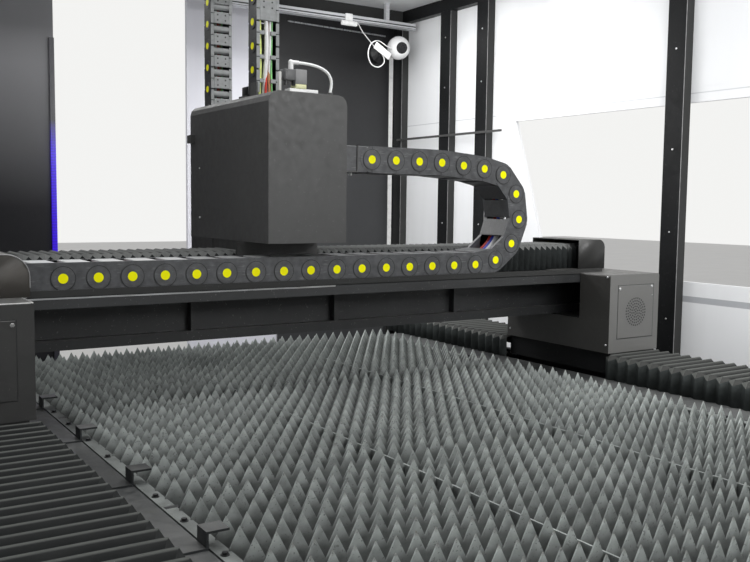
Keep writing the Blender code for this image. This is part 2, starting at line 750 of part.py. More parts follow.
def long_bellows(side, sign):
    low, high = between(sign * Y_BELLOWS_INNER, sign * Y_BELLOWS_OUTER)
    bottom = EDGE_PLATE_TOP + SEAT_GAP
    reach = saddle_half_length() + SEAT_GAP
    near = BED_NEAR + BELLOWS_STOP_THICKNESS + SEAT_GAP
    far = BED_FAR - BELLOWS_STOP_THICKNESS - SEAT_GAP
    for place, start, end in (("near", near, GANTRY_Y - reach), ("far", GANTRY_Y + reach, far)):
        folded_cover(f"y_bellows_{side}_{place}", "Y", start, end, low, high, bottom, Y_BELLOWS_TOP,
                     Y_BELLOWS_FOLD_PITCH, Y_BELLOWS_FOLD_DEPTH)


# Pallet

PALLET_HALF = MODULE_COUNT * MODULE_LENGTH / 2
SLAT_PITCH = MODULE_LENGTH / SLAT_COUNT


def pallet_frame(carrier):
    """Side beams, cross beams and ribs, with wheels let into the side beams."""
    parts = []
    for side, sign in sides():
        low = sign * TRACK_X - PALLET_BEAM_WIDTH / 2
        parts.append(block(f"pallet_beam_{side}", (low, -PALLET_HALF, PALLET_BEAM_BOTTOM),
                           (low + PALLET_BEAM_WIDTH, PALLET_HALF, PALLET_BEAM_TOP), zinc(), carrier))
        reach = PALLET_HALF - WHEEL_END_MARGIN
        for number, y in enumerate(even_places(-reach, reach, WHEEL_COUNT)):
            low_x = sign * TRACK_X - WHEEL_WIDTH / 2
            centre = (y, TRACK_TOP + SEAT_GAP + WHEEL_RADIUS)
            parts.append(prism(f"wheel_{side}_{number}", circle(WHEEL_RADIUS, centre, WHEEL_SIDES), "X", low_x,
                               low_x + WHEEL_WIDTH, zinc(), carrier))
    inner = TRACK_X - PALLET_BEAM_WIDTH / 2 + WELD
    for number in range(MODULE_COUNT + 1):
        reach = PALLET_HALF - PALLET_CROSS_WIDTH / 2
        centre = even_places(-reach, reach, MODULE_COUNT + 1)[number]
        parts.append(block(f"pallet_cross_{number}", (-inner, centre - PALLET_CROSS_WIDTH / 2, PALLET_BEAM_BOTTOM),
                           (inner, centre + PALLET_CROSS_WIDTH / 2, PALLET_BEAM_TOP), zinc(), carrier))
    parts[0].name = "pallet_frame"
    return fuse(parts[0], parts[1:])


def slat_outline():
    """The side view of one slat: a plain strip with a row of tall teeth along its top."""
    half = TOOTH_COUNT * TOOTH_PITCH / 2
    tongue = MODULE_HALF_WIDTH - SIDE_BAR_WIDTH + WELD
    shoulder = MODULE_TOP - WELD
    points = [(-tongue, shoulder), (-tongue, SLAT_BOTTOM), (tongue, SLAT_BOTTOM), (tongue, shoulder)]
    for tooth in reversed(range(TOOTH_COUNT)):
        left = -half + tooth * TOOTH_PITCH
        points.append((left + TOOTH_PITCH, TOOTH_VALLEY))
        points.append((left + TOOTH_PITCH / 2, TOOTH_TIP))
    points.append((-half, TOOTH_VALLEY))
    return points


def slat_row():
    """All slats of one module, as one mesh of separate plates."""
    bm = bmesh.new()
    outline = slat_outline()
    for number in range(SLAT_COUNT):
        y = (number - (SLAT_COUNT - 1) / 2) * SLAT_PITCH - SLAT_THICKNESS / 2
        ring = [bm.verts.new((x, y, z)) for x, z in outline]
        grown = bmesh.ops.extrude_face_region(bm, geom=[bm.faces.new(ring)])
        moved = [item for item in grown["geom"] if isinstance(item, bmesh.types.BMVert)]
        bmesh.ops.translate(bm, verts=moved, vec=(0, SLAT_THICKNESS, 0))
    return finish_object("slat_row", bm, zinc())


def slat_modules(carrier):
    """Trays of slats; each is side bars, cross plates and slats welded into one piece."""
    bottom = PALLET_BEAM_TOP + SEAT_GAP
    half_length = MODULE_LENGTH / 2 - SEAT_GAP / 2
    rim = block("module_rim", (-MODULE_HALF_WIDTH, -half_length, bottom),
                (MODULE_HALF_WIDTH, half_length, MODULE_TOP), zinc())
    inner = MODULE_HALF_WIDTH - SIDE_BAR_WIDTH
    well = block("module_well", (-inner, CROSS_PLATE - half_length, bottom - OVERRUN),
                 (inner, half_length - CROSS_PLATE, MODULE_TOP + OVERRUN), zinc())
    cut(rim, [well])
    fuse(rim, [slat_row()])
    bpy.context.view_layer.update()
    shared = bpy.data.meshes.new_from_object(rim.evaluated_get(bpy.context.evaluated_depsgraph_get()))
    helper(rim)
    for number in range(MODULE_COUNT):
        module = bpy.data.objects.new(f"slat_module_{number + 1}", shared)
        module.location = (0, (number - (MODULE_COUNT - 1) / 2) * MODULE_LENGTH, 0)
        module.parent = carrier
        bpy.context.scene.collection.objects.link(module)


# Gantry

def saddle_half_length():
    return COVER_HALF_LENGTH - COVER_SHEET - SEAT_GAP


def saddle(side, sign, gantry):
    """The foot under one beam end, with a guide block that wraps the rail."""
    rail_low = Y_RAIL_X - Y_RAIL_WIDTH / 2 - SEAT_GAP
    rail_high = Y_RAIL_X + Y_RAIL_WIDTH / 2 + SEAT_GAP
    rail_top = BED_BEAM_TOP + SEAT_GAP + Y_RAIL_HEIGHT + SEAT_GAP
    top = BEAM_BOTTOM - SEAT_GAP
    outline = [(SADDLE_INNER, SADDLE_BOTTOM), (GUIDE_BLOCK_INNER, SADDLE_BOTTOM),
               (GUIDE_BLOCK_INNER, GUIDE_BLOCK_BOTTOM), (rail_low, GUIDE_BLOCK_BOTTOM), (rail_low, rail_top),
               (rail_high, rail_top), (rail_high, GUIDE_BLOCK_BOTTOM), (GUIDE_BLOCK_OUTER, GUIDE_BLOCK_BOTTOM),
               (GUIDE_BLOCK_OUTER, SADDLE_BOTTOM), (SADDLE_OUTER, SADDLE_BOTTOM), (SADDLE_OUTER, top),
               (SADDLE_INNER, top)]
    reach = saddle_half_length()
    prism(f"gantry_saddle_{side}", mirrored(outline, sign), "Y", -reach, reach, black_paint(), gantry)


def beam_outline():
    """The beam's section: a hollow-looking girder with a flange below and the cable tray in front."""
    tray_under = BEAM_TOP - TRAY_SHEET
    lip_bottom = BEAM_TOP - TRAY_LIP_HEIGHT
    flange_top = BEAM_BOTTOM + BEAM_FLANGE_HEIGHT
    return [(TRAY_FRONT, lip_bottom), (TRAY_FRONT + TRAY_SHEET, lip_bottom), (TRAY_FRONT + TRAY_SHEET, tray_under),
            (BEAM_WEB_FRONT, tray_under), (BEAM_WEB_FRONT, flange_top), (BEAM_FLANGE_FRONT, flange_top),
            (BEAM_FLANGE_FRONT, BEAM_BOTTOM), (BEAM_BACK, BEAM_BOTTOM), (BEAM_BACK, BEAM_TOP),
            (TRAY_FRONT, BEAM_TOP)]


def gantry_beam(gantry):
    beam = prism("gantry_beam", beam_outline(), "X", -BEAM_END, BEAM_END, black_paint(), gantry)
    ribs = []
    for number in range(BEAM_RIB_COUNT):
        centre = BEAM_RIB_CENTRE + (number - (BEAM_RIB_COUNT - 1) / 2) * BEAM_RIB_PITCH
        ribs.append(block(f"beam_rib_{number}",
                          (centre - BEAM_RIB_THICKNESS / 2, BEAM_FLANGE_FRONT + WELD,
                           BEAM_BOTTOM + BEAM_FLANGE_HEIGHT - WELD),
                          (centre + BEAM_RIB_THICKNESS / 2, BEAM_WEB_FRONT + WELD, BEAM_TOP - TRAY_SHEET + WELD),
                          black_paint(), gantry))
    return fuse(beam, ribs)


def end_cover(side, sign, gantry):
    """A folded box over one beam end, open below, with a passage for the beam in its inner wall."""
    low, high = between(sign * COVER_INNER, sign * COVER_OUTER)
    outline = rounded_top(low, COVER_BOTTOM, high, COVER_TOP, COVER_ROUNDING, COVER_ROUNDING)
    cover = prism(f"end_cover_{side}", outline, "Y", -COVER_HALF_LENGTH, COVER_HALF_LENGTH, black_paint(), gantry)
    wall = COVER_SHEET
    hollow = block(f"end_hollow_{side}", (low + wall, wall - COVER_HALF_LENGTH, COVER_BOTTOM - OVERRUN),
                   (high - wall, COVER_HALF_LENGTH - wall, COVER_TOP - wall), black_paint(), gantry)
    near_x, far_x = between(sign * (COVER_INNER - OVERRUN), sign * (COVER_INNER + OVERRUN))
    passage = block(f"beam_passage_{side}", (near_x, TRAY_FRONT - PASSAGE_GAP, BEAM_BOTTOM - PASSAGE_GAP),
                    (far_x, BEAM_BACK + PASSAGE_GAP, COVER_TOP - wall), black_paint(), gantry)
    return cut(cover, [hollow, passage])


def beam_hood(side, sign, inner, top, front, rounding, rounded_side, gantry):
    """A folded hood on one beam end, open below, that the cross bellows end against."""
    low, high = between(sign * inner, sign * COVER_OUTER)
    bottom = COVER_TOP + SEAT_GAP
    left_radius = rounding if rounded_side == "left" else 0
    right_radius = rounding if rounded_side == "right" else 0
    wall = COVER_SHEET
    outline = rounded_top(low, bottom, high, top, left_radius, right_radius)
    hood = prism(f"beam_hood_{side}", outline, "Y", front, BEAM_BACK, black_paint(), gantry)
    inside = rounded_top(low + wall, bottom - OVERRUN, high - wall, top - wall,
                         max(0, left_radius - wall), max(0, right_radius - wall))
    hollow = prism(f"hood_hollow_{side}", inside, "Y", front + wall, BEAM_BACK - wall, black_paint(), gantry)
    return cut(hood, [hollow])


def cross_rails(gantry):
    """The guide rail and the rack on top of the beam."""
    bottom = BEAM_TOP + SEAT_GAP
    end = COVER_INNER - RAIL_END_MARGIN / 2
    block("x_guide_rail", (-end, X_RAIL_FRONT, bottom), (end, X_RAIL_FRONT + X_RAIL_WIDTH, X_RAIL_TOP),
          steel(), gantry)
    block("x_rack", (-end, X_RACK_FRONT, bottom), (end, X_RACK_FRONT + X_RACK_WIDTH, bottom + X_RACK_HEIGHT),
          steel(), gantry)


def cross_bellows(gantry):
    bottom = X_RAIL_TOP + SEAT_GAP
    reach = CARRIAGE_HALF_WIDTH + SEAT_GAP
    for side, start, stop in (("left", SEAT_GAP - COVER_INNER, CARRIAGE_X - reach),
                              ("right", CARRIAGE_X + reach, HOOD_RIGHT_INNER - SEAT_GAP)):
        folded_cover(f"x_bellows_{side}", "X", start, stop, X_BELLOWS_FRONT, X_BELLOWS_BACK, bottom,
                     X_BELLOWS_TOP, X_BELLOWS_FOLD_PITCH, X_BELLOWS_FOLD_DEPTH, gantry)


def gear_outline(radius, root, teeth):
    points = []
    for tooth in range(teeth):
        for share, reach in ((0.0, root), (0.25, root), (0.40, radius), (0.85, radius)):
            angle = math.tau * (tooth + share) / teeth
            points.append((reach * math.cos(angle), reach * math.sin(angle)))
    return points


def pinion(name, location, bottom, shaft_top, parent):
    """A small gear with its shaft, turning about its own vertical axis."""
    pivot = empty(f"{name}_axis", location, parent)
    gear = prism(name, gear_outline(PINION_RADIUS, PINION_ROOT, PINION_TEETH), "Z", bottom,
                 bottom + PINION_HEIGHT, steel(), pivot)
    shaft = prism(f"{name}_shaft", circle(PINION_SHAFT_RADIUS, sides=8), "Z", bottom + PINION_HEIGHT / 2,
                  shaft_top, steel(), pivot)
    return fuse(gear, [shaft])


def long_pinions(gantry):
    for side, sign in sides():
        x = sign * (Y_RACK_X + Y_RACK_WIDTH / 2 + SEAT_GAP + PINION_RADIUS)
        pinion(f"y_pinion_{side}", (x, 0, 0), BED_BEAM_TOP + SLIDE_GAP, SADDLE_BOTTOM - SEAT_GAP, gantry)


# Drag chains

def link_rings(path, length, pitch, height):
    """Stations along the path: each link is a full-height body, then a waist where the next one starts."""
    count = int(length / pitch)
    start = (length - count * pitch) / 2
    stations = [(0, height / 2, 0)]
    for link in range(count + 1):
        centre = start + link * pitch
        waist = CHAIN_WAIST_SHARE * pitch / 2
        for offset, reach, inset in ((-waist, height / 2, 0), (-waist, height / 2 - CHAIN_WAIST, CHAIN_WAIST),
                                     (waist, height / 2 - CHAIN_WAIST, CHAIN_WAIST), (waist, height / 2, 0)):
            place = centre + offset + pitch / 2
            if 0 < place < length:
                stations.append((place, reach, inset))
    if stations[-1][2] == 0:
        stations.append((length, height / 2, 0))
    else:
        stations = stations[:-1]
        stations.append((length, height / 2, 0))
    return [(path(place), reach, inset) for place, reach, inset in stations]


def drag_chain(name, rings, side_axis, low, high, parent):
    """Bridge rectangular rings along the path into one closed chain of linked bodies."""
    bm = bmesh.new()
    loops = []
    for (point, normal), reach, inset in rings:
        corners = []
        for height_sign, side in ((-1, low + inset), (-1, high - inset), (1, high - inset), (1, low + inset)):
            spot = point + normal * (height_sign * reach)
            corners.append(bm.verts.new((side, spot.y, spot.z) if side_axis == "X" else (spot.x, side, spot.z)))
        loops.append(corners)
    for first, second in zip(loops, loops[1:]):
        for k in range(4):
            after = (k + 1) % 4
            bm.faces.new((first[k], first[after], second[after], second[k]))
    bm.faces.new(loops[0])
    bm.faces.new(loops[-1])
    return finish_object(name, bm, chain_plastic(), parent)


def cross_chain_path(moving_end, fixed_end, bend, lower, upper):
    """Distance along the chain from the carriage end: upper run, half turn, lower run."""
    radius = (upper - lower) / 2
    middle = (upper + lower) / 2
    upper_length = bend - moving_end
    turn = math.pi * radius
    total = upper_length + turn + bend - fixed_end

    def at(distance):
        if distance <= upper_length:
            return Vector((moving_end + distance, 0, upper)), Vector((0, 0, 1))
        if distance <= upper_length + turn:
            angle = (distance - upper_length) / radius
            normal = Vector((math.sin(angle), 0, math.cos(angle)))
            return Vector((bend, 0, middle)) + normal * radius, normal
        return Vector((bend - (distance - upper_length - turn), 0, lower)), Vector((0, 0, -1))

    return at, total


def vertical_chain_path(near_y, far_y, near_end, far_end, bend):
    """Distance along the chain from the cover box: up the near leg, over, and down the far leg."""
    radius = (far_y - near_y) / 2
    middle = (far_y + near_y) / 2
    rise = bend - near_end
    turn = math.pi * radius
    total = rise + turn + bend - far_end

    def at(distance):
        if distance <= rise:
            return Vector((0, near_y, near_end + distance)), Vector((0, -1, 0))
        if distance <= rise + turn:
            angle = (distance - rise) / radius
            normal = Vector((0, -math.cos(angle), math.sin(angle)))
            return Vector((0, middle, bend)) + normal * radius, normal
        return Vector((0, far_y, bend - (distance - rise - turn))), Vector((0, 1, 0))

    return at, total


def cross_chain(gantry):
    moving_end = CARRIAGE_X + BOX_HALF_WIDTH + CHAIN_BRACKET_REACH + CHAIN_END_GAP
    fixed_end = -COVER_INNER + CHAIN_END_GAP
    path, total = cross_chain_path(moving_end, fixed_end, CHAIN_BEND_X, CHAIN_LOWER_Z, CHAIN_UPPER_Z)
    rings = link_rings(path, total, CHAIN_PITCH, CHAIN_HEIGHT)
    drag_chain("x_drag_chain", rings, "Y", CHAIN_FRONT, CHAIN_FRONT + CHAIN_WIDTH, gantry)


def vertical_chain(carriage):
    path, total = vertical_chain_path(Z_CHAIN_NEAR_Y, Z_CHAIN_FAR_Y, BOX_TOP + SEAT_GAP, Z_CHAIN_END_Z,
                                      Z_CHAIN_BEND_Z)
    rings = link_rings(path, total, Z_CHAIN_PITCH, Z_CHAIN_HEIGHT)
    drag_chain("z_drag_chain", rings, "X", Z_CHAIN_LEFT, Z_CHAIN_LEFT + Z_CHAIN_WIDTH, carriage)


# Carriage

def carriage_block(carriage):
    """The block that wraps the cross rail, with an apron down the back of the beam."""
    rail_front, rail_back = X_RAIL_FRONT - SEAT_GAP, X_RAIL_FRONT + X_RAIL_WIDTH + SEAT_GAP
    margin = CARRIAGE_BLOCK_MARGIN
    apron = BEAM_BACK + SLIDE_GAP
    outline = [(X_BELLOWS_FRONT, CARRIAGE_UNDERSIDE), (rail_front - margin, CARRIAGE_UNDERSIDE),
               (rail_front - margin, CARRIAGE_BLOCK_BOTTOM), (rail_front, CARRIAGE_BLOCK_BOTTOM),
               (rail_front, X_RAIL_TOP + SEAT_GAP), (rail_back, X_RAIL_TOP + SEAT_GAP),
               (rail_back, CARRIAGE_BLOCK_BOTTOM), (rail_back + margin, CARRIAGE_BLOCK_BOTTOM),
               (rail_back + margin, CARRIAGE_UNDERSIDE), (apron, CARRIAGE_UNDERSIDE), (apron, APRON_BOTTOM),
               (apron + APRON_THICKNESS, APRON_BOTTOM), (apron + APRON_THICKNESS, CARRIAGE_TOP),
               (X_BELLOWS_FRONT, CARRIAGE_TOP)]
    prism("carriage_block", outline, "X", -CARRIAGE_HALF_WIDTH, CARRIAGE_HALF_WIDTH, black_paint(), carriage)


def cover_box(carriage):
    """The tall folded cover over the vertical axis, open below."""
    outline = rounded_top(-BOX_HALF_WIDTH, BOX_BOTTOM, BOX_HALF_WIDTH, BOX_TOP, BOX_ROUNDING, BOX_ROUNDING)
    box = prism("z_cover_box", outline, "Y", BOX_FRONT, BOX_BACK, grey_paint(), carriage)
    wall = BOX_SHEET
    inside = rounded_top(wall - BOX_HALF_WIDTH, BOX_BOTTOM - OVERRUN, BOX_HALF_WIDTH - wall, BOX_TOP - wall,
                         BOX_ROUNDING - wall, BOX_ROUNDING - wall)
    hollow = prism("z_cover_hollow", inside, "Y", BOX_FRONT + wall, BOX_BACK - wall, grey_paint(), carriage)
    return fuse(cut(box, [hollow]), cover_fittings(carriage))


def cover_fittings(carriage):
    """The clip on the box's far edge, a cable clamp and a hose fitting on its top, and the chain bracket."""
    left = WELD - BOX_HALF_WIDTH
    clip = block("cover_clip", (-BOX_HALF_WIDTH - CLIP_DEPTH, BOX_BACK - CLIP_WIDTH, CLIP_BOTTOM),
                 (left, BOX_BACK - WELD, CLIP_BOTTOM + CLIP_HEIGHT), black_paint(), carriage)
    low, sheet = BOX_TOP - WELD, CABLE_CLAMP_SHEET
    width, height = CABLE_CLAMP_WIDTH, CABLE_CLAMP_HEIGHT
    outline = [(CABLE_CLAMP_X, low), (CABLE_CLAMP_X + width, low), (CABLE_CLAMP_X + width, low + height),
               (CABLE_CLAMP_X + width - sheet, low + height), (CABLE_CLAMP_X + width - sheet, BOX_TOP + sheet),
               (CABLE_CLAMP_X, BOX_TOP + sheet)]
    clamp = prism("cable_clamp", outline, "Y", CABLE_CLAMP_Y, CABLE_CLAMP_Y + width, black_paint(), carriage)
    fitting = prism("hose_fitting", circle(FITTING_RADIUS, (FITTING_X, VALVE_Y), 8), "Z", low,
                    BOX_TOP + FITTING_HEIGHT, grey_paint(), carriage)
    side = BOX_HALF_WIDTH - WELD
    reach, sheet = CHAIN_BRACKET_REACH, CHAIN_BRACKET_SHEET
    bottom = CHAIN_UPPER_Z - CHAIN_HEIGHT / 2
    face = BOX_HALF_WIDTH
    outline = [(side, bottom - reach / 2), (face + sheet, bottom - reach / 2), (face + sheet, bottom),
               (face + reach, bottom), (face + reach, bottom + CHAIN_HEIGHT),
               (face + reach - sheet, bottom + CHAIN_HEIGHT), (face + reach - sheet, bottom + sheet),
               (face + sheet, bottom + sheet), (face + sheet, bottom + CHAIN_HEIGHT),
               (side, bottom + CHAIN_HEIGHT)]
    bracket = prism("chain_bracket", outline, "Y", CHAIN_FRONT, CHAIN_FRONT + CHAIN_WIDTH, black_paint(),
                    carriage)
    return [clip, clamp, fitting, bracket]


def valve(carriage):
    """A pilot valve on a small plate, with its coil, body, block and elbow."""
    low, front, back = BOX_TOP + SEAT_GAP, VALVE_Y - VALVE_DEPTH / 2, VALVE_Y + VALVE_DEPTH / 2
    plate = block("solenoid_valve", (VALVE_PLATE_LEFT, front, low),
                  (VALVE_PLATE_RIGHT, back, low + VALVE_PLATE_HEIGHT), white_paint(), carriage)
    coil = block("valve_coil", (COIL_LEFT, front + WELD, low + VALVE_PLATE_HEIGHT - WELD),
                 (COIL_RIGHT, back - WELD, COIL_TOP), white_paint(), carriage)
    body = block("valve_body", (BODY_LEFT, front + 2 * WELD, BODY_BOTTOM),
                 (COIL_LEFT + WELD, back - 2 * WELD, COIL_TOP - WELD), white_paint(), carriage)
    side_block = block("valve_block", (BLOCK_LEFT, front, low), (BODY_LEFT + WELD, back, BLOCK_TOP),
                       white_paint(), carriage)
    riser = prism("valve_riser", circle(ELBOW_RADIUS, (ELBOW_X, VALVE_Y), 8), "Z", COIL_TOP - 2 * WELD,
                  ELBOW_AXIS_HEIGHT + ELBOW_RADIUS, white_paint(), carriage)
    elbow = prism("valve_elbow", circle(ELBOW_RADIUS - WELD, (VALVE_Y, ELBOW_AXIS_HEIGHT), 8), "X", ELBOW_X,
                  ELBOW_X + ELBOW_REACH, white_paint(), carriage)
    return fuse(plate, [coil, body, side_block, riser, elbow])


def air_hose(carriage):
    """A short hose that leaves the elbow level and bends over and down to the fitting."""
    start = Vector((ELBOW_X + ELBOW_REACH + SEAT_GAP, VALVE_Y, ELBOW_AXIS_HEIGHT))
    end = Vector((FITTING_X, VALVE_Y, BOX_TOP + FITTING_HEIGHT + SEAT_GAP))
    leave = start + Vector((HOSE_STRAIGHT, 0, 0))
    arrive = end + Vector((0, 0, HOSE_STRAIGHT))
    span, drop = arrive.x - leave.x, leave.z - arrive.z
    first = leave + Vector((span * 0.75, 0, 0))
    second = arrive + Vector((span * 0.16, 0, drop * 0.75))
    points = [start]
    steps = 14
    for k in range(steps + 1):
        t = k / steps
        points.append((1 - t) ** 3 * leave + 3 * (1 - t) ** 2 * t * first
                      + 3 * (1 - t) * t ** 2 * second + t ** 3 * arrive)
    points.append(end)
    curve = bpy.data.curves.new("air_hose", "CURVE")
    curve.dimensions = "3D"
    curve.bevel_depth = HOSE_RADIUS
    curve.bevel_resolution = 2
    curve.use_fill_caps = True
    spline = curve.splines.new("POLY")
    spline.points.add(len(points) - 1)
    for place, point in zip(spline.points, points):
        place.co = (*point, 1)
    hose = bpy.data.objects.new("air_hose", curve)
    hose.data.materials.append(white_paint())
    hose.parent = carriage
    bpy.context.scene.collection.objects.link(hose)


def cross_pinion(carriage):
    y = X_RACK_FRONT + X_RACK_WIDTH + SEAT_GAP + PINION_RADIUS
    pinion("x_pinion", (0, y, 0), BEAM_TOP + SLIDE_GAP, CARRIAGE_UNDERSIDE - SEAT_GAP, carriage)


# Vertical slide and cutting head

def vertical_slide(head):
    """The slide plate with the head, its nozzle and the shelf that carries the chain's end."""
    front = BEAM_BACK + SLIDE_GAP + APRON_THICKNESS + SEAT_GAP
    back = front + SLIDE_PLATE_THICKNESS
    block("z_slide_plate", (-SLIDE_PLATE_HALF_WIDTH, front, SLIDE_PLATE_BOTTOM),
          (SLIDE_PLATE_HALF_WIDTH, back, SLIDE_PLATE_TOP), steel(), head)
    head_front = back + SEAT_GAP
    head_back = head_front + HEAD_DEPTH
    centre_y = head_front + HEAD_DEPTH / 2
    body = block("cutting_head", (-HEAD_HALF_WIDTH, head_front, SLIDE_PLATE_BOTTOM),
                 (HEAD_HALF_WIDTH, head_back, HEAD_TOP), black_paint(), head)
    collimator = prism("collimator", circle(COLLIMATOR_RADIUS, (0, centre_y)), "Z", HEAD_TOP - WELD,
                       COLLIMATOR_TOP, black_paint(), head)
    fuse(body, [collimator])
    top = SLIDE_PLATE_BOTTOM - SEAT_GAP
    profile = [(0, top), (NOZZLE_FLANGE_RADIUS, top), (NOZZLE_FLANGE_RADIUS, top - NOZZLE_FLANGE_HEIGHT),
               (NOZZLE_TIP_RADIUS, NOZZLE_TIP), (0, NOZZLE_TIP)]
    turned("nozzle", profile, steel(), head, (0, centre_y, 0))
    shelf_top = Z_CHAIN_END_Z - SEAT_GAP
    shelf_back = Z_CHAIN_FAR_Y + Z_CHAIN_HEIGHT / 2
    outline = [(head_back + SEAT_GAP, shelf_top - 2 * LINK_SHELF_THICKNESS),
               (head_back + LINK_SHELF_THICKNESS / 2, shelf_top - 2 * LINK_SHELF_THICKNESS),
               (shelf_back, shelf_top - LINK_SHELF_THICKNESS / 2), (shelf_back, shelf_top),
               (head_back + SEAT_GAP, shelf_top)]
    prism("z_chain_bracket", outline, "X", Z_CHAIN_LEFT, Z_CHAIN_LEFT + Z_CHAIN_WIDTH, black_paint(), head)


def build():
    room = empty("enclosure", (0, ENCLOSURE_Y, 0))
    for side, sign in sides():
        side_frame(side, sign, room)
        side_panels(side, sign, room)
    roof_frame(room)
    roof_panels(room)
    far_wall(room)
    sliding_door(room)
    near_wall(room)
    lamp_bar(room)
    watching_camera(room)

    bed_frame()
    for side, sign in sides():
        long_rails(side, sign)
        plate = edge_plate(side, sign)
        if side == "left":
            fuse(plate, hold_down_brackets(sign))
        pallet_track(side, sign)
        long_bellows(side, sign)

    pallet = empty("pallet", (0, 0, 0))
    pallet_frame(pallet)
    slat_modules(pallet)

    gantry = empty("gantry", (0, GANTRY_Y, 0))
    gantry_beam(gantry)
    for side, sign in sides():
        saddle(side, sign, gantry)
        end_cover(side, sign, gantry)
    beam_hood("left", -1, COVER_INNER, HOOD_LEFT_TOP, HOOD_LEFT_FRONT, HOOD_LEFT_ROUNDING, "right", gantry)
    beam_hood("right", 1, HOOD_RIGHT_INNER, HOOD_RIGHT_TOP, HOOD_RIGHT_FRONT, HOOD_RIGHT_ROUNDING, "right", gantry)
    cross_rails(gantry)
    cross_bellows(gantry)
    long_pinions(gantry)
    cross_chain(gantry)

    carriage = empty("carriage", (CARRIAGE_X, 0, 0), gantry)
    carriage_block(carriage)
    cover_box(carriage)
    valve(carriage)
    air_hose(carriage)
    vertical_chain(carriage)
    cross_pinion(carriage)

    head = empty("vertical_slide", (0, 0, 0), carriage)
    vertical_slide(head)


build()
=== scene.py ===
# %% [markdown]
# # An enclosed gantry laser cutter
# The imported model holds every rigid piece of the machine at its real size. This lesson dresses it: it keeps
# the folded sheet covers, posts and rails, gives each a procedural finish, and builds in finer form what a
# solid only stands in for, such as the toothed slats, the pleated bellows and the links of the drag chains.
#
# Everything is in metres. +X runs along the gantry beam, +Y along the bed towards the sliding door, +Z is
# up.

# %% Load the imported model
import math

import bmesh
import bpy
from mathutils import Matrix, Vector


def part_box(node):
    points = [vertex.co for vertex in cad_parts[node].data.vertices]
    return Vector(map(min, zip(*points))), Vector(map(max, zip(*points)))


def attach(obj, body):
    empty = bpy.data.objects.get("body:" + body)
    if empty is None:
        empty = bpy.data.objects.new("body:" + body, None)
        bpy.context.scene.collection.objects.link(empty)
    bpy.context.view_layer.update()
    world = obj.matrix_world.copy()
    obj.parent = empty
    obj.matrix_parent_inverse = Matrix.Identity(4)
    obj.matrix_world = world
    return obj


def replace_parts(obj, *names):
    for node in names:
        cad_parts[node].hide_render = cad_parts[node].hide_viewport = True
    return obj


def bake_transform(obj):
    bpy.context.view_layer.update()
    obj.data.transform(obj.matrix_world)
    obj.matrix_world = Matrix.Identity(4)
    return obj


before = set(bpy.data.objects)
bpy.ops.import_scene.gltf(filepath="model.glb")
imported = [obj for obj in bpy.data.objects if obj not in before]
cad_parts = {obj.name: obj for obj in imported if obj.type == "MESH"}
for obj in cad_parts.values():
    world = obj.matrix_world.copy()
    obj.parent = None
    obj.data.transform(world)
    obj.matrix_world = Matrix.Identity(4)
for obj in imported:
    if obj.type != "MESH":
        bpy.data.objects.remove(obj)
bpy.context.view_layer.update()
print("pieces in the packed model:", len(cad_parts))

# %% [markdown]
# ## The camera
# The photographer stood inside the machine at its near left corner, with the eye at 1.45 m. The direction
# was worked out from straight edges, so it is written as a heading, a downward tilt and a small roll.
# Blender wants a matrix whose columns are right, up and backwards, and that is quicker to build from
# vectors than to find by trial.

# %% Place the camera
EYE = Vector((-1.307, -1.55, 1.45))
HEADING = math.radians(32.842)
TILT = math.radians(4.921)
ROLL = math.radians(0.670)
LENS = 42.97


def look():
    forward = Vector((math.sin(HEADING) * math.cos(TILT), math.cos(HEADING) * math.cos(TILT),
                      -math.sin(TILT)))
    level = Vector((math.cos(HEADING), -math.sin(HEADING), 0))
    over = level.cross(forward)
    right = math.cos(ROLL) * level + math.sin(ROLL) * over
    up = math.cos(ROLL) * over - math.sin(ROLL) * level
    turn = Matrix((right, up, -forward)).transposed().to_4x4()
    return Matrix.Translation(EYE) @ turn


camera = bpy.data.objects.new("camera", bpy.data.cameras.new("camera"))
camera.data.lens = LENS
camera.data.sensor_width = 36
camera.data.clip_start = 0.02
camera.matrix_world = look()
bpy.context.scene.collection.objects.link(camera)
bpy.context.scene.camera = camera
print("camera at", tuple(EYE))

# %% [markdown]
# ## Light
# Plain studio light shows colours about as they are written. The world gives an even glow, but the
# enclosure's own walls keep much of it out, so soft lamps hang above the open roof and inside under the
# roof sheets. The lamps are kept low so that pale paint doesn't clip, though the upper panels of the right
# wall still do. One lamp faces the right wall only, because the white panels should be bright where the
# black covers before them stay dark. Camera, mirror and glass rays see a paler world than the one that
# lights the machine.

# %% Set the world and the lamps
GLOW = 0.64
PALE = (0.90, 0.90, 0.885, 1)
scene = bpy.context.scene
scene.view_settings.view_transform = "Standard"
world = bpy.data.worlds.new("studio")
scene.world = world
world.use_nodes = True
sky = world.node_tree
glow = sky.nodes["Background"]
glow.inputs["Color"].default_value = (0.97, 0.98, 1.0, 1)
glow.inputs["Strength"].default_value = GLOW
seen = sky.nodes.new("ShaderNodeBackground")
seen.inputs["Color"].default_value = PALE
path = sky.nodes.new("ShaderNodeLightPath")
choose = sky.nodes.new("ShaderNodeMixShader")
looking = path.outputs["Is Camera Ray"]
for ray in ("Is Glossy Ray", "Is Transmission Ray"):
    either = sky.nodes.new("ShaderNodeMath")
    either.operation = "MAXIMUM"
    sky.links.new(looking, either.inputs[0])
    sky.links.new(path.outputs[ray], either.inputs[1])
    looking = either.outputs[0]
for place, source in enumerate((looking, glow.outputs[0], seen.outputs[0])):
    sky.links.new(source, choose.inputs[place])
sky.links.new(choose.outputs[0], sky.nodes["World Output"].inputs["Surface"])


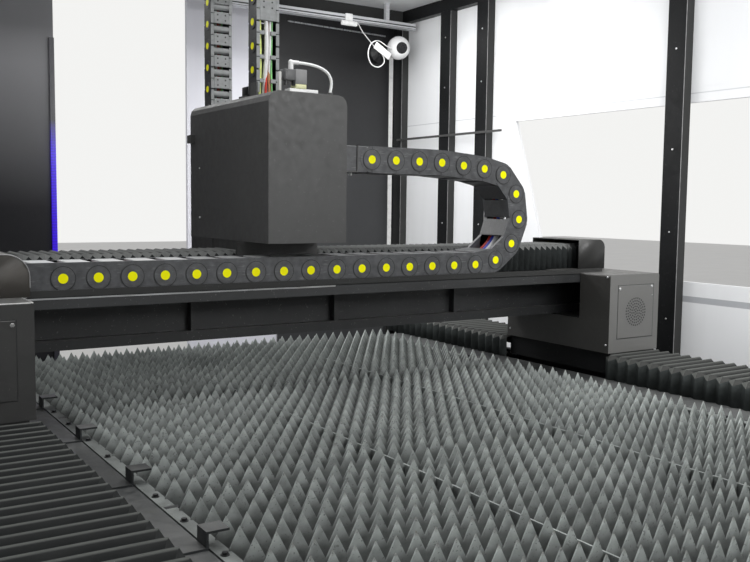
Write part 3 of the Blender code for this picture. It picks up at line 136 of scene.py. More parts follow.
def soft_lamp(name, place, aim, size, power):
    """An area lamp that the camera doesn't see."""
    lamp = bpy.data.objects.new(name, bpy.data.lights.new(name, "AREA"))
    lamp.data.shape = "RECTANGLE"
    lamp.data.size, lamp.data.size_y = size
    lamp.data.energy = power
    lamp.location = place
    lamp.rotation_euler = (Vector(aim) - Vector(place)).to_track_quat("-Z", "Y").to_euler()
    lamp.visible_camera = False
    scene.collection.objects.link(lamp)


soft_lamp("skylight", (0.3, 0.1, 4.4), (0, 0.2, 0.9), (2.8, 3.4), 104)
soft_lamp("near_fill", (0.9, -2.2, 2.2), (0.4, 0.6, 0.9), (1.0, 0.6), 27)
soft_lamp("far_fill", (0.2, 1.95, 2.3), (0.2, 1.6, 0.8), (2.0, 0.5), 8)
soft_lamp("wall_fill", (0.5, 1.55, 2.05), (1.4, 1.75, 1.25), (0.5, 1.4), 12)
soft_lamp("sill_fill", (0.70, -0.20, 1.75), (1.4, 0.0, 1.45), (0.5, 0.9), 6)
soft_lamp("corner_fill", (0.5, 0.9, 1.7), (1.0, 2.2, 2.4), (0.5, 0.4), 4)

# %% [markdown]
# ## Writing shader maths as formulas
# A finish is a formula of place: dust gathers where a slow noise is high, a stripe lies where the height is
# between two values. Wiring such a formula by hand hides it, so one small class wraps a socket and lets
# Python's own operators add the Math nodes. A second one holds the material and has a single method for
# every other node.

# %% A socket that does arithmetic
class Wire:
    def __init__(self, finish, socket):
        self.finish = finish
        self.socket = socket

    def maths(self, operation, *values):
        return self.finish.node("ShaderNodeMath", {"operation": operation}, values)

    def __add__(self, other):
        return self.maths("ADD", self, other)

    def __mul__(self, other):
        return self.maths("MULTIPLY", self, other)

    def __gt__(self, other):
        return self.maths("GREATER_THAN", self, other)

    def __lt__(self, other):
        return self.maths("LESS_THAN", self, other)

    def wave(self, length):
        """From 0 to 1 and back once in each length."""
        return self.maths("PINGPONG", self, length / 2) * (2 / length)


# %% A material under construction
class Finish:
    def __init__(self, name, roughness=0.5, metallic=0.0, **sockets):
        self.material = bpy.data.materials.new(name)
        self.material.use_nodes = True
        self.tree = self.material.node_tree
        self.shader = self.tree.nodes["Principled BSDF"]
        self.place = self.node("ShaderNodeTexCoord", out="Object")
        for label, value in {"Roughness": roughness, "Metallic": metallic, **sockets}.items():
            self.shader.inputs[label].default_value = value

    def node(self, kind, settings=None, values=(), out=0):
        made = self.tree.nodes.new(kind)
        for label, value in (settings or {}).items():
            setattr(made, label, value)
        pairs = values.items() if isinstance(values, dict) else enumerate(values)
        for label, value in pairs:
            self.feed(made.inputs[label], value)
        return Wire(self, made.outputs[out])

    def feed(self, socket, value):
        if isinstance(value, Wire):
            self.tree.links.new(value.socket, socket)
        else:
            socket.default_value = value

    def axis(self, letter):
        return self.node("ShaderNodeSeparateXYZ", values=[self.place], out="XYZ".index(letter))

    def facing(self, letter):
        normal = self.node("ShaderNodeTexCoord", out="Normal")
        return self.node("ShaderNodeSeparateXYZ", values=[normal], out="XYZ".index(letter))

    def noise(self, size, detail=3.0, stretch=(1, 1, 1)):
        """Smooth noise whose blotches are about size across; stretch makes them longer along an axis."""
        scale = tuple(1 / (size * s) for s in stretch)
        spot = self.node("ShaderNodeVectorMath", {"operation": "MULTIPLY"}, [self.place, scale])
        return self.node("ShaderNodeTexNoise", values={"Vector": spot, "Scale": 1.0, "Detail": detail})

    def fit(self, value, low, high, start=0.0, stop=1.0):
        """Stretch the range low to high over start to stop, and clamp it there."""
        return self.node("ShaderNodeMapRange", values=[value, low, high, start, stop])

    def mix(self, share, first, second):
        first, second = ((*c, 1) if isinstance(c, tuple) and len(c) == 3 else c for c in (first, second))
        return self.node("ShaderNodeMix", {"data_type": "RGBA"}, {0: share, 6: first, 7: second}, out=2)

    def bump(self, height, depth, strength=1.0):
        return self.node("ShaderNodeBump", values={"Strength": strength, "Distance": depth, "Height": height})

    def surface(self, colour, roughness=None, relief=None, **others):
        wanted = {"Base Color": colour, "Roughness": roughness, "Normal": relief, **others}
        for label, value in wanted.items():
            if value is not None:
                self.feed(self.shader.inputs[label], value)
        return self.material


print("shader helpers ready")

# %% [markdown]
# ## Painted sheet and tube
# The frame, the bed and the covers are powder-coated: a fine orange-peel relief, a soft gloss that varies a
# little, and pale dust from the cutting where a surface faces up. One recipe serves every paint, with its
# colour, its gloss and how much dust it holds. It can also pale the faces that look near, which is painted
# light, and change the tone with height, which is painted shade on the far walls and a painted sheen on the
# left one.

# %% Powder coat
PEEL = 0.004
DUST_AND_PAINTED_LIGHT = (0.26, 0.26, 0.25)


def powder_coat(name, colour, gloss=0.38, dust=0.35, variation=0.25, shine=0.5, front=0.0, height_tone=None):
    """front pales the faces that look near with painted light. The tone by height is a painted gradient: low,
    high, its colour and its share at the high end."""
    finish = Finish(name, roughness=gloss, **{"Specular IOR Level": shine})
    broad = finish.noise(0.35, 4.0)
    fine = finish.noise(0.02, 5.0)
    peel = finish.noise(PEEL, 2.0)
    darker = tuple(c * (1 - variation) for c in colour)
    lighter = tuple(min(1.0, c * (1 + variation)) for c in colour)
    coat = finish.mix(finish.fit(broad, 0.35, 0.65), darker, lighter)
    up = finish.fit(finish.facing("Z"), 0.3, 0.9)
    settled = up * finish.fit(broad * 0.6 + fine * 0.4, 0.38, 0.66) * dust
    specks = (finish.noise(0.006, 2.0) > 0.70) * (dust * 0.35)
    # Faces that look near are paled towards the dust colour: painted light.
    if front:
        coat = finish.mix((finish.facing("Y") < -0.5) * front, coat, DUST_AND_PAINTED_LIGHT)
    # A tone that changes with height: a painted sheen on the left far wall, painted shade on the other black
    # sheets.
    if height_tone:
        low, high, colour_layer, share = height_tone
        coat = finish.mix(finish.fit(finish.axis("Z"), low, high, 0.0, share), coat, colour_layer)
    dust_and_painted_shading = finish.mix(settled + specks, coat, DUST_AND_PAINTED_LIGHT)
    rough = finish.fit(fine, 0.3, 0.7, gloss - 0.06, gloss + 0.10) + settled * 0.35
    return finish.surface(dust_and_painted_shading, rough, finish.bump(peel, 0.0002, 0.35))


# front pales the faces that look near with painted light, a little on black parts and more on the end covers.
BLACK = powder_coat("black_powder_coat", (0.011, 0.0115, 0.012), gloss=0.36, dust=0.30, shine=0.10,
                    front=0.12)
# The far walls and the camera arm darken towards the top, painted shade; the left far wall pales there, a
# painted sheen.
WALL_BLACK = powder_coat("black_wall_sheet", (0.036, 0.037, 0.039), gloss=0.40, dust=0.10, variation=0.12,
                          height_tone=(1.45, 2.15, (0.006, 0.006, 0.007), 0.95))
SHEEN_PAINTED_BLACK = powder_coat("black_wall_painted_sheen", (0.016, 0.016, 0.019), gloss=0.44, dust=0.10, variation=0.12,
                         shine=0.3, height_tone=(1.42, 2.02, (0.24, 0.24, 0.25), 0.92))
HOOD = powder_coat("hood_coat", (0.034, 0.034, 0.033), gloss=0.42, dust=0.35, variation=0.12)
# The left hood is a lighter copy of the hood coat: painted light.
PAINTED_LIT_HOOD = powder_coat("hood_coat_left_painted_light", (0.064, 0.059, 0.053), gloss=0.46, dust=0.20, variation=0.10)
COVER = powder_coat("end_cover_coat", (0.034, 0.033, 0.031), gloss=0.40, dust=0.25, variation=0.08,
                    front=0.42)
SOOT = powder_coat("dusty_black_sheet", (0.022, 0.023, 0.024), gloss=0.42, dust=0.75)
GREY = powder_coat("dark_grey_powder_coat", (0.054, 0.054, 0.053), gloss=0.46, dust=0.30, variation=0.12)
PLATE = powder_coat("bed_plate_coat", (0.022, 0.024, 0.025), gloss=0.40, dust=0.28, shine=0.35)
print("paints:", BLACK.name, SOOT.name, GREY.name, PLATE.name)

# %% [markdown]
# ## White wall panels
# The wall panels are white on both faces. A single white would look like card, so the sheet has faint waves
# as thin panels do, soft grey smudges, and grime that thickens towards the floor. A grey stripe runs along
# the lower panels just below the window, at one height on both sides, and the fold of the upper panels' lower
# edge shows as a fine line.

# %% White panel with its stripe
STRIPE = (1.106, 1.128)
LIP = (1.857, 1.861)
WHITE = (0.80, 0.81, 0.82)


def white_panel(name, stripe=False, colour=WHITE):
    finish = Finish(name, roughness=0.38)
    smudge = finish.fit(finish.noise(0.5, 5.0), 0.45, 0.75)
    drip = finish.fit(finish.noise(0.05, 4.0, (1, 1, 9)), 0.5, 0.8)
    height = finish.axis("Z")
    low = finish.fit(height, 0.0, 0.5, 1.0, 0.0)
    grime = smudge * 0.10 + drip * 0.06 + low * smudge * 0.35
    sheet = finish.mix(grime, colour, (0.42, 0.42, 0.41))
    if stripe:
        band = (height > STRIPE[0]) * (height < STRIPE[1])
        fold = (height > LIP[0]) * (height < LIP[1])
        sheet = finish.mix(band + fold * 0.6, sheet, (0.42, 0.43, 0.45))
    waves = finish.noise(0.45, 1.0)
    peel = finish.noise(0.003, 2.0)
    relief = finish.bump(waves + peel * 0.02, 0.004, 0.5)
    return finish.surface(sheet, finish.fit(smudge, 0.0, 1.0, 0.30, 0.48), relief)


PANEL = white_panel("white_panel")
STRIPED = white_panel("white_panel_with_stripe", stripe=True)
DOOR = white_panel("white_door", colour=(0.74, 0.74, 0.80))
print("panels:", PANEL.name, STRIPED.name, DOOR.name)

# %% [markdown]
# ## Bare metal
# Rails and racks are ground steel, with fine marks along their length. The slats are thin galvanised strip,
# dulled to a slightly green grey by smoke, darker and brown-edged where the beam has burned their tips, and
# speckled with spatter. Down the teeth towards the valleys and the foot they grow darker, painted shade
# between the close slats. Height decides where the burn and the shade lie, because every tip is at the same
# level.

# %% Steel and galvanised strip
TIP, VALLEY, SLAT_FOOT = 0.933, 0.896, 0.835


def ground_steel(name, along, colour=(0.52, 0.53, 0.54)):
    finish = Finish(name, metallic=0.9)
    stretch = {"X": (30, 1, 1), "Y": (1, 30, 1), "Z": (1, 1, 30)}[along]
    marks = finish.noise(0.004, 3.0, stretch)
    oil = finish.fit(finish.noise(0.12, 4.0), 0.45, 0.7)
    tint = finish.mix(finish.fit(marks, 0.35, 0.65), tuple(c * 0.72 for c in colour), colour)
    colour_layer = finish.mix(oil * 0.35, tint, (0.20, 0.17, 0.12))
    return finish.surface(colour_layer, finish.fit(marks, 0.3, 0.7, 0.22, 0.42), finish.bump(marks, 0.0001, 0.4))


def galvanised(name, colour=(0.52, 0.56, 0.54)):
    finish = Finish(name, metallic=0.25)
    cloud = finish.noise(0.03, 5.0)
    patch = finish.noise(0.25, 3.0)
    grain = finish.noise(0.002, 3.0)
    height = finish.axis("Z")
    base = finish.mix(finish.fit(cloud * 0.6 + patch * 0.4, 0.40, 0.62), tuple(c * 0.70 for c in colour),
                      tuple(c * 1.15 for c in colour))
    # Painted shade: darker down the teeth towards the valleys, and darker still towards the foot.
    low = finish.fit(height, VALLEY + 0.010, SLAT_FOOT + 0.01, 0.0, 0.85)
    rise = finish.fit(height, VALLEY - 0.004, TIP - 0.003)
    base = finish.mix(rise, finish.mix(0.72, base, (0.04, 0.042, 0.04)), base)
    painted_root_shade = finish.mix(low, base, (0.045, 0.047, 0.046))
    edge = finish.fit(height + grain * 0.010, TIP - 0.004, TIP + 0.004)
    burnt = finish.mix(edge * finish.fit(patch, 0.35, 0.6) * 0.6, painted_root_shade, (0.11, 0.085, 0.065))
    spatter = (finish.noise(0.005, 1.5) > 0.66) * 0.5
    speckled = finish.mix(spatter, burnt, (0.10, 0.10, 0.10))
    return finish.surface(speckled, finish.fit(cloud, 0.3, 0.7, 0.42, 0.68),
                          finish.bump(cloud + grain, 0.0006, 0.5))


def extruded_bar(name, grooves, colour=(0.66, 0.67, 0.69)):
    """Drawn aluminium, with painted shade in the grooves that run along its near face."""
    finish = Finish(name, metallic=0.35)
    marks = finish.noise(0.004, 3.0, (40, 1, 1))
    height = finish.axis("Z")
    tint = finish.mix(finish.fit(marks, 0.35, 0.65), tuple(c * 0.86 for c in colour), colour)
    near = finish.facing("Y") < -0.5
    for low, high in grooves:
        tint = finish.mix((height > low) * (height < high) * near, tint, (0.06, 0.06, 0.06))
    return finish.surface(tint, finish.fit(marks, 0.3, 0.7, 0.30, 0.45), finish.bump(marks, 0.0001, 0.3))


ALUMINIUM = extruded_bar("extruded_aluminium", ((2.3325, 2.3350), (2.3420, 2.3480)))
STEEL_X = ground_steel("ground_steel_crosswise", "X")
STEEL_Y = ground_steel("ground_steel_lengthwise", "Y")
STEEL_Z = ground_steel("ground_steel_upright", "Z")
ZINC = galvanised("smoked_galvanised_strip")
SHEET_ZINC = ground_steel("pallet_galvanised", "Y", colour=(0.38, 0.40, 0.39))
print("metals:", STEEL_X.name, ZINC.name)

# %% [markdown]
# ## Cloth, plastic and rubber
# The bellows are coated cloth, matt and grey-green. Their upward faces are pale with dust and a painted
# highlight, and they carry painted shade in the creases and, on the long ones, on the slopes that face near.
# The chain links are moulded from a dark, slightly mottled plastic that scuffs pale on its edges, and their
# pin caps are a plain strong yellow.

# %% Bellows cloth
def bellows_cloth(name, crest, dip, colour, pale, shadow=None):
    """Pale where the folded top faces up or slopes, dust and a painted highlight; painted shade, black, in the
    creases a dip below the crest. shadow holds two colours of painted shade on the slopes that face the open
    end: a darker one for the left bed and a paler one for the right, where more light falls."""
    finish = Finish(name, roughness=0.72, **{"Specular IOR Level": 0.08})
    weave = finish.noise(0.0015, 2.0)
    cloud = finish.noise(0.06, 4.0)
    height = finish.axis("Z")
    tone = finish.mix(finish.fit(cloud, 0.35, 0.65), tuple(c * 0.75 for c in colour),
                      tuple(c * 1.3 for c in colour))
    facing = finish.facing("Z")
    flat = finish.fit(facing, 0.72, 0.88)
    sloped = finish.fit(facing, 0.10, 0.25)
    # Upward faces turn pale: dust and a painted highlight.
    dust_and_painted_shading = finish.mix(sloped * finish.fit(cloud, 0.2, 0.7, 0.55, 0.95), tone, pale)
    # Painted shade on the slopes that face near, below the crest line.
    if shadow:
        front = finish.fit(finish.facing("Y"), -0.08, 0.08, 1.0, 0.0)
        below = finish.fit(height, crest - 0.0024, crest - 0.0010, 1.0, 0.0)
        dust_and_painted_shading = finish.mix(sloped * front * below, dust_and_painted_shading,
                           finish.mix(finish.fit(finish.axis("X"), -1.0, 1.0), *shadow))
    # Painted shade: the creases a dip below the crest turn black.
    deep = finish.fit(height, crest - dip * 0.25, crest - dip * 0.85, 0.0, 0.9)
    painted_crease_shade = finish.mix(flat * deep, dust_and_painted_shading, (0.006, 0.007, 0.007))
    rough = finish.fit(cloud, 0.3, 0.7, 0.66, 0.82)
    return finish.surface(painted_crease_shade, rough, finish.bump(weave, 0.0002, 0.5))


LONG_CREST, LONG_DIP = 0.975, 0.0075
CROSS_CREST, CROSS_DIP = 1.318, 0.005
LONG_CLOTH = bellows_cloth("bellows_cloth_long", LONG_CREST, LONG_DIP, (0.050, 0.056, 0.055),
                           (0.085, 0.088, 0.082), shadow=((0.014, 0.015, 0.015), (0.045, 0.046, 0.044)))
CROSS_CLOTH = bellows_cloth("bellows_cloth_cross", CROSS_CREST, CROSS_DIP, (0.026, 0.029, 0.029),
                            (0.125, 0.128, 0.125))
print("cloths:", LONG_CLOTH.name, CROSS_CLOTH.name)


# %% Moulded plastic
def moulded(name, colour, gloss=0.42, mottle=0.25, grain=0.0015, scuff=0.0, shine=0.5, highlight_ramp=None):
    finish = Finish(name, roughness=gloss, **{"Specular IOR Level": shine})
    cloud = finish.noise(0.02, 4.0)
    skin = finish.noise(grain, 2.0)
    tone = finish.mix(finish.fit(cloud, 0.35, 0.65), tuple(c * (1 - mottle) for c in colour),
                      tuple(min(1.0, c * (1 + mottle)) for c in colour))
    # A painted highlight, paler towards one end along X.
    if highlight_ramp:
        start, stop, highlight_colour = highlight_ramp
        tone = finish.mix(finish.fit(finish.axis("X"), start, stop), highlight_colour, tone)
    if scuff:
        marks = finish.fit(finish.noise(0.004, 5.0, (6, 1, 1)), 0.60, 0.75) * scuff
        tone = finish.mix(marks, tone, (0.30, 0.30, 0.30))
    return finish.surface(tone, finish.fit(cloud, 0.3, 0.7, gloss - 0.05, gloss + 0.08),
                          finish.bump(skin, 0.0001, 0.4))


CHAIN = moulded("chain_plastic", (0.064, 0.066, 0.070), gloss=0.42, scuff=0.30)
# The upright chain's sides: a darker copy of the chain plastic, painted shade.
RISE_SIDE_SHADE = moulded("chain_dark_plastic", (0.030, 0.031, 0.033), gloss=0.45, scuff=0.15, shine=0.3)
CHAIN_INSIDE = moulded("chain_inside_plastic", (0.068, 0.070, 0.072), gloss=0.42, mottle=0.15, scuff=0.30)
# The upright chain's lids and stubs: a lighter copy, a painted highlight.
RISE_LID_HIGHLIGHT = moulded("chain_lid_plastic", (0.26, 0.27, 0.27), gloss=0.45, mottle=0.15, scuff=0.4)
# The lower run's lids: a painted highlight, palest at the left.
LOWER_LID_HIGHLIGHT = moulded("chain_top_plastic", (0.085, 0.088, 0.09), gloss=0.38, mottle=0.15, scuff=0.3,
                    highlight_ramp=(-0.85, 0.10, (0.50, 0.51, 0.51)))
# Thin pale strips and tubes along edges: painted highlights.
EDGE_HIGHLIGHT = moulded("painted_edge_highlight", (0.27, 0.27, 0.27), gloss=0.35, mottle=0.2)
# A paler one for the left cover's top edge: a painted glint.
EDGE_GLINT = moulded("painted_edge_glint", (0.52, 0.52, 0.51), gloss=0.35, mottle=0.2)
YELLOW = moulded("yellow_cap", (1.0, 0.96, 0.0), gloss=0.40, mottle=0.02, shine=0.1)
WHITE_PLASTIC = moulded("white_plastic", (0.82, 0.82, 0.81), gloss=0.28, mottle=0.04)
CREAM = moulded("cream_plastic", (0.72, 0.72, 0.42), gloss=0.4, mottle=0.06)
# Black plastic for cables, knobs and bolts, and black discs and rings that are painted shade in holes and
# grooves.
BLACK_PLASTIC_AND_SHADE = moulded("black_plastic_and_painted_shade", (0.014, 0.014, 0.015), gloss=0.35)
COIL_PLASTIC = moulded("coil_plastic", (0.24, 0.24, 0.24), gloss=0.45, mottle=0.06)
HOSE = moulded("air_hose_plastic", (0.86, 0.87, 0.86), gloss=0.25, mottle=0.03)
RED = moulded("red_sleeve", (0.62, 0.05, 0.03), gloss=0.35)
ORANGE = moulded("orange_sleeve", (0.42, 0.19, 0.09), gloss=0.4)
GREEN = moulded("green_sleeve", (0.28, 0.76, 0.26), gloss=0.35)
LIME = moulded("lime_sleeve", (0.70, 0.82, 0.22), gloss=0.35)
BLUE = moulded("blue_sleeve", (0.05, 0.08, 0.55), gloss=0.35)
BODY_PLASTIC = moulded("valve_body_plastic", (0.105, 0.107, 0.108), gloss=0.45, mottle=0.08)
SILVER = moulded("silver_block", (0.58, 0.58, 0.55), gloss=0.35, mottle=0.06)
WHITE_GLOSS = moulded("camera_white_plastic", (0.86, 0.86, 0.86), gloss=0.22, mottle=0.015)
ZINC_BOLT = ground_steel("zinc_bolt", "Z", colour=(0.62, 0.63, 0.64))
print("plastics:", len([m for m in bpy.data.materials if "plastic" in m.name]))

# %% [markdown]
# ## Glass and light
# The strip beside the doorway is a blue diffuser, lit from within, and the camera's eye is black glass.
# Light comes from the Emission Color socket.

# %% Lit strip and dark glass
def lit_strip(name, colour, strength, low, top):
    """Lit between the heights low and top, where it fades to the bare dark strip."""
    finish = Finish(name, roughness=0.3, **{"Emission Strength": strength})
    height = finish.axis("Z")
    dots = height.wave(0.012)
    lit = finish.mix(finish.fit(dots, 0.0, 1.0, 0.15, 0.75), tuple(c * 0.55 for c in colour), colour)
    dark = finish.fit(height, top - 0.14, top) + finish.fit(height, low, low - 0.10)
    glow_colour = finish.mix(dark, lit, (0.014, 0.014, 0.018))
    return finish.surface(glow_colour, None, finish.bump(dots, 0.0004, 0.3),
                          **{"Emission Color": glow_colour})


def dark_glass(name):
    finish = Finish(name, roughness=0.3, **{"Specular IOR Level": 0.25})
    colour_layer = finish.mix(finish.fit(finish.noise(0.01, 3.0), 0.4, 0.7), (0.004, 0.004, 0.005),
                      (0.016, 0.016, 0.018))
    return finish.surface(colour_layer, finish.fit(finish.noise(0.006, 2.0), 0.3, 0.7, 0.25, 0.40))


LIGHT_STRIP = lit_strip("blue_light_strip", (0.035, 0.006, 0.56), 0.85, 1.10, 1.79)
LENS_GLASS = dark_glass("camera_glass")
print("light and glass ready")

# %% [markdown]
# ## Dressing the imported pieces
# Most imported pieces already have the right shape. Each gets its finish by the start of its name, and the
# first match wins, so that the list reads from the particular to the general.

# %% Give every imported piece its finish
DRESS = (
    ("side_panel", STRIPED), ("roof_panel", PANEL), ("near_wall", PANEL),
    ("sliding_door", DOOR), ("far_wall_left", SHEEN_PAINTED_BLACK), ("far_wall", WALL_BLACK), ("end_cover_left", HOOD),
    ("end_cover", COVER), ("light_strip", LIGHT_STRIP), ("lamp_bar", ALUMINIUM), ("camera_arm", WALL_BLACK),
    ("camera", WHITE_PLASTIC),
    ("beam_hood", HOOD),
    ("y_guide", STEEL_Y), ("y_rack", STEEL_Y), ("pallet_track", STEEL_Y), ("x_guide", STEEL_X),
    ("x_rack", STEEL_X), ("y_pinion", STEEL_Z), ("x_pinion", STEEL_Z), ("z_slide", STEEL_Z),
    ("nozzle", STEEL_Z),
    ("pallet_frame", SHEET_ZINC), ("slat_module", ZINC), ("bed_plate", PLATE), ("z_cover", GREY),
    ("carriage_block", HOOD), ("gantry_beam", SOOT), ("air_hose", HOSE), ("solenoid", COIL_PLASTIC),
    ("y_bellows", LONG_CLOTH), ("x_bellows", CROSS_CLOTH), ("x_drag", CHAIN), ("z_drag", CHAIN),
    ("", BLACK),
)


def dress(node):
    finish = next(finish for start, finish in DRESS if node.startswith(start))
    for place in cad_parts[node].material_slots:
        place.material = finish


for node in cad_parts:
    dress(node)
print("dressed:", len(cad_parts))

# %% [markdown]
# ## A small workshop of shapes
# New pieces start from a box, a bar or a disc made by a bmesh operator, so a few helpers place those
# between points that can be read off the machine. The bench collects shapes, and taking a piece off it
# turns the faces outwards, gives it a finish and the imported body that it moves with.

# %% Boxes, bars and bevels
def add_box(bench, low, high):
    low, high = Vector(low), Vector(high)
    fit = Matrix.Translation((low + high) / 2) @ Matrix.Diagonal((*(high - low), 1))
    return bmesh.ops.create_cube(bench, size=1, matrix=fit)["verts"]


def add_bar(bench, start, end, radius, tip=None, sides=16):
    start, end = Vector(start), Vector(end)
    turn = (end - start).to_track_quat("Z", "Y").to_matrix().to_4x4()
    fit = Matrix.Translation((start + end) / 2) @ turn
    return bmesh.ops.create_cone(bench, cap_ends=True, segments=sides, radius1=radius,
                                 radius2=radius if tip is None else tip, depth=(end - start).length,
                                 matrix=fit)["verts"]


def soften(bench, verts, width, segments=2):
    edges = list({edge for vert in verts for edge in vert.link_edges})
    bmesh.ops.bevel(bench, geom=edges, offset=width, affect="EDGES", segments=segments, profile=0.5,
                    material=-1)


def take_off(bench, name, finish, body=None, smooth_angle=35):
    bmesh.ops.recalc_face_normals(bench, faces=bench.faces)
    mesh = bpy.data.meshes.new(name)
    bench.to_mesh(mesh)
    bench.free()
    mesh.shade_smooth()
    mesh.set_sharp_from_angle(angle=math.radians(smooth_angle))
    piece = bpy.data.objects.new(name, mesh)
    piece.data.materials.append(finish)
    scene.collection.objects.link(piece)
    if body:
        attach(piece, body)
    return piece


def boxes(name, finish, slot, body, *blocks):
    """A piece of boxes, each given by two corners. Where its edges are rounded, a width and segments follow."""
    bench = bmesh.new()
    for low, high, *rounding in blocks:
        block = add_box(bench, low, high)
        if rounding:
            soften(bench, block, *rounding)
    return take_off(bench, name, finish, body)


print("shape helpers ready")

# %% [markdown]
# ## Toothed slats
# A slat is a strip of thin sheet with a row of tall pointed teeth, and the sheet to be cut rests on their
# tips. A tooth could be an extruded triangle, but a grid is quicker: one strip of cells whose upper corners
# rise to a tip at every second one. Then the whole strip is extruded to the thickness of the sheet. Each
# tray holds fourteen, and no two tips are worn quite alike.

# %% One slat
TEETH = 39
TOOTH_PITCH = 0.03824
SLAT_THICKNESS = 0.003
FIELD = TEETH * TOOTH_PITCH
STEPS = 2


def wear(column, row):
    """A repeatable small number from 0 to 1 for one tooth."""
    return math.modf(abs(math.sin(column * 12.9898 + row * 78.233)) * 43758.5453)[0]


def add_slat(bench, middle, row):
    cells = TEETH * STEPS
    strip = bmesh.ops.create_grid(bench, x_segments=cells, y_segments=1, size=0.5)["verts"]
    faces = list({face for vert in strip for face in vert.link_faces})
    for vert in strip:
        column = round((vert.co.x + 0.5) * cells)
        tooth, step = divmod(column, STEPS)
        tip = TIP - 0.0022 * wear(tooth, row)
        height = VALLEY + (tip - VALLEY) * step if vert.co.y > 0 else SLAT_FOOT
        lean = 0.0024 * (wear(tooth, row + 50) - 0.5) * step
        vert.co = (vert.co.x * FIELD, middle - SLAT_THICKNESS / 2 + lean, height)
    grown = bmesh.ops.extrude_face_region(bench, geom=faces)["geom"]
    bmesh.ops.translate(bench, verts=[g for g in grown if isinstance(g, bmesh.types.BMVert)],
                        vec=(0, SLAT_THICKNESS, 0))


print("teeth on each slat:", TEETH)

# %% [markdown]
# ## The slat trays
# Four trays make the pallet's top. Each has side bars with a flange that bolts down, end plates whose pale
# upper edges show between the teeth, and two long ribs that the slats are slotted over.

# %% Four trays
TRAYS = 4
TRAY_LENGTH = 0.795
SLATS = 14
SLAT_PITCH = 0.0554
RIM = 0.768
RIM_TOP = 0.894
RIB_X = 0.2486
END_PLATE_TOP = 0.868
BOLT_PLACES = (-0.34, -0.19, -0.03, 0.127, 0.305)


def tray_middle(number):
    return (number - (TRAYS - 1) / 2) * TRAY_LENGTH


def slat_tray(number):
    bench = bmesh.new()
    middle = tray_middle(number)
    for row in range(SLATS):
        add_slat(bench, middle + (row - (SLATS - 1) / 2) * SLAT_PITCH, number * SLATS + row)
    near, far = middle - TRAY_LENGTH / 2 + 0.0003, middle + TRAY_LENGTH / 2 - 0.0003
    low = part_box(f"slat_module_{number + 1}")[0].z
    for side in (-1, 1):
        add_box(bench, (side * RIM - (0.02 if side > 0 else 0), near, low),
                (side * RIM + (0.02 if side < 0 else 0), far, RIM_TOP - 0.003))
        edge = sorted((side * RIM, side * 0.742))
        add_box(bench, (edge[0], near, RIM_TOP - 0.003), (edge[1], far, RIM_TOP))
        add_box(bench, (side * RIB_X - 0.002, near, 0.842), (side * RIB_X + 0.002, far, 0.905))
    for start, end in ((near, near + 0.008), (far - 0.008, far)):
        add_box(bench, (-RIM + 0.02, start, low), (RIM - 0.02, end, END_PLATE_TOP))
    tray = take_off(bench, f"slat_tray_{number + 1}", ZINC, "pallet", smooth_angle=20)
    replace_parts(tray, f"slat_module_{number + 1}")
    return tray


def tray_bolts(number):
    bench = bmesh.new()
    for side in (-1, 1):
        for offset in BOLT_PLACES:
            spot = Vector((side * 0.757, tray_middle(number) + offset, RIM_TOP))
            add_bar(bench, spot, spot + Vector((0, 0, 0.0012)), 0.0075, sides=16)
            add_bar(bench, spot, spot + Vector((0, 0, 0.0055)), 0.0052, sides=6)
        end = tray_middle(number) + TRAY_LENGTH / 2 - 0.012
        inner, outer = sorted((side * 0.738, side * 0.764))
        if number < TRAYS - 1:
            add_box(bench, (inner, end - 0.006, RIM_TOP - 0.001), (outer, end + 0.006, RIM_TOP + 0.0004))
    take_off(bench, f"tray_bolts_{number + 1}", BLACK_PLASTIC_AND_SHADE, "pallet")


for number in range(TRAYS):
    tray = slat_tray(number)
    tray_bolts(number)
print("faces on one tray:", len(tray.data.polygons))

# %% [markdown]
# ## Pleated bellows
# Bellows keep sparks off the rails. The cloth is folded like a paper fan, and at each fold the corner
# between the top and the side is pushed in, so along the edge the pale tops end in a row of small triangles
# that point down. A grid with two rows for each fold does it: every other row sinks a little, narrows, and
# keeps a sharp shoulder, while the crest rows have a low one. Solidify gives the cloth a thickness.

# %% A cover from a grid
CLOTH = 0.0012


def pleated_cover(name, axis, start, end, sides, bottom, crest, fold, finish, dip, tuck=0.012, shoulder=0.020,
                  corner=0.012):
    """axis is the travel; sides are the two edges across it."""
    folds = max(2, round((end - start) / fold))
    rows = 2 * folds
    bench = bmesh.new()
    cells = bmesh.ops.create_grid(bench, x_segments=rows, y_segments=5, size=0.5)["verts"]
    for vert in cells:
        row, line = round((vert.co.x + 0.5) * rows), round((vert.co.y + 0.5) * 5)
        valley = row % 2 == 0
        inset = (tuck if valley else 0.0) + (corner if line in (2, 3) else 0.0)
        top = crest - (dip if valley else 0.0)
        along = start + (end - start) * row / rows
        across = sides[0] + inset if line < 3 else sides[1] - inset
        drop = 0.0 if line in (2, 3) else 0.002 if valley else shoulder
        height = bottom if line in (0, 5) else top - drop
        vert.co = (across, along, height) if axis == "Y" else (along, across, height)
    cover = take_off(bench, name, finish, smooth_angle=8)
    thick = cover.modifiers.new("cloth", "SOLIDIFY")
    thick.thickness = CLOTH
    thick.offset = 0.0
    return cover


# %% Four covers over the bed's rails
LONG_FOLD = 0.0415
for side in ("left", "right"):
    for place in ("near", "far"):
        node = f"y_bellows_{side}_{place}"
        low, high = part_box(node)
        inset = CLOTH / 2
        cover = pleated_cover(f"long_bellows_{side}_{place}", "Y", low.y, high.y,
                              (low.x + inset, high.x - inset), low.z + 0.0005, high.z - inset,
                              LONG_FOLD, LONG_CLOTH, LONG_DIP)
        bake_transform(cover)
        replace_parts(cover, node)
print("long bellows crest:", round(high.z, 4), "faces on the last:", len(cover.data.polygons))

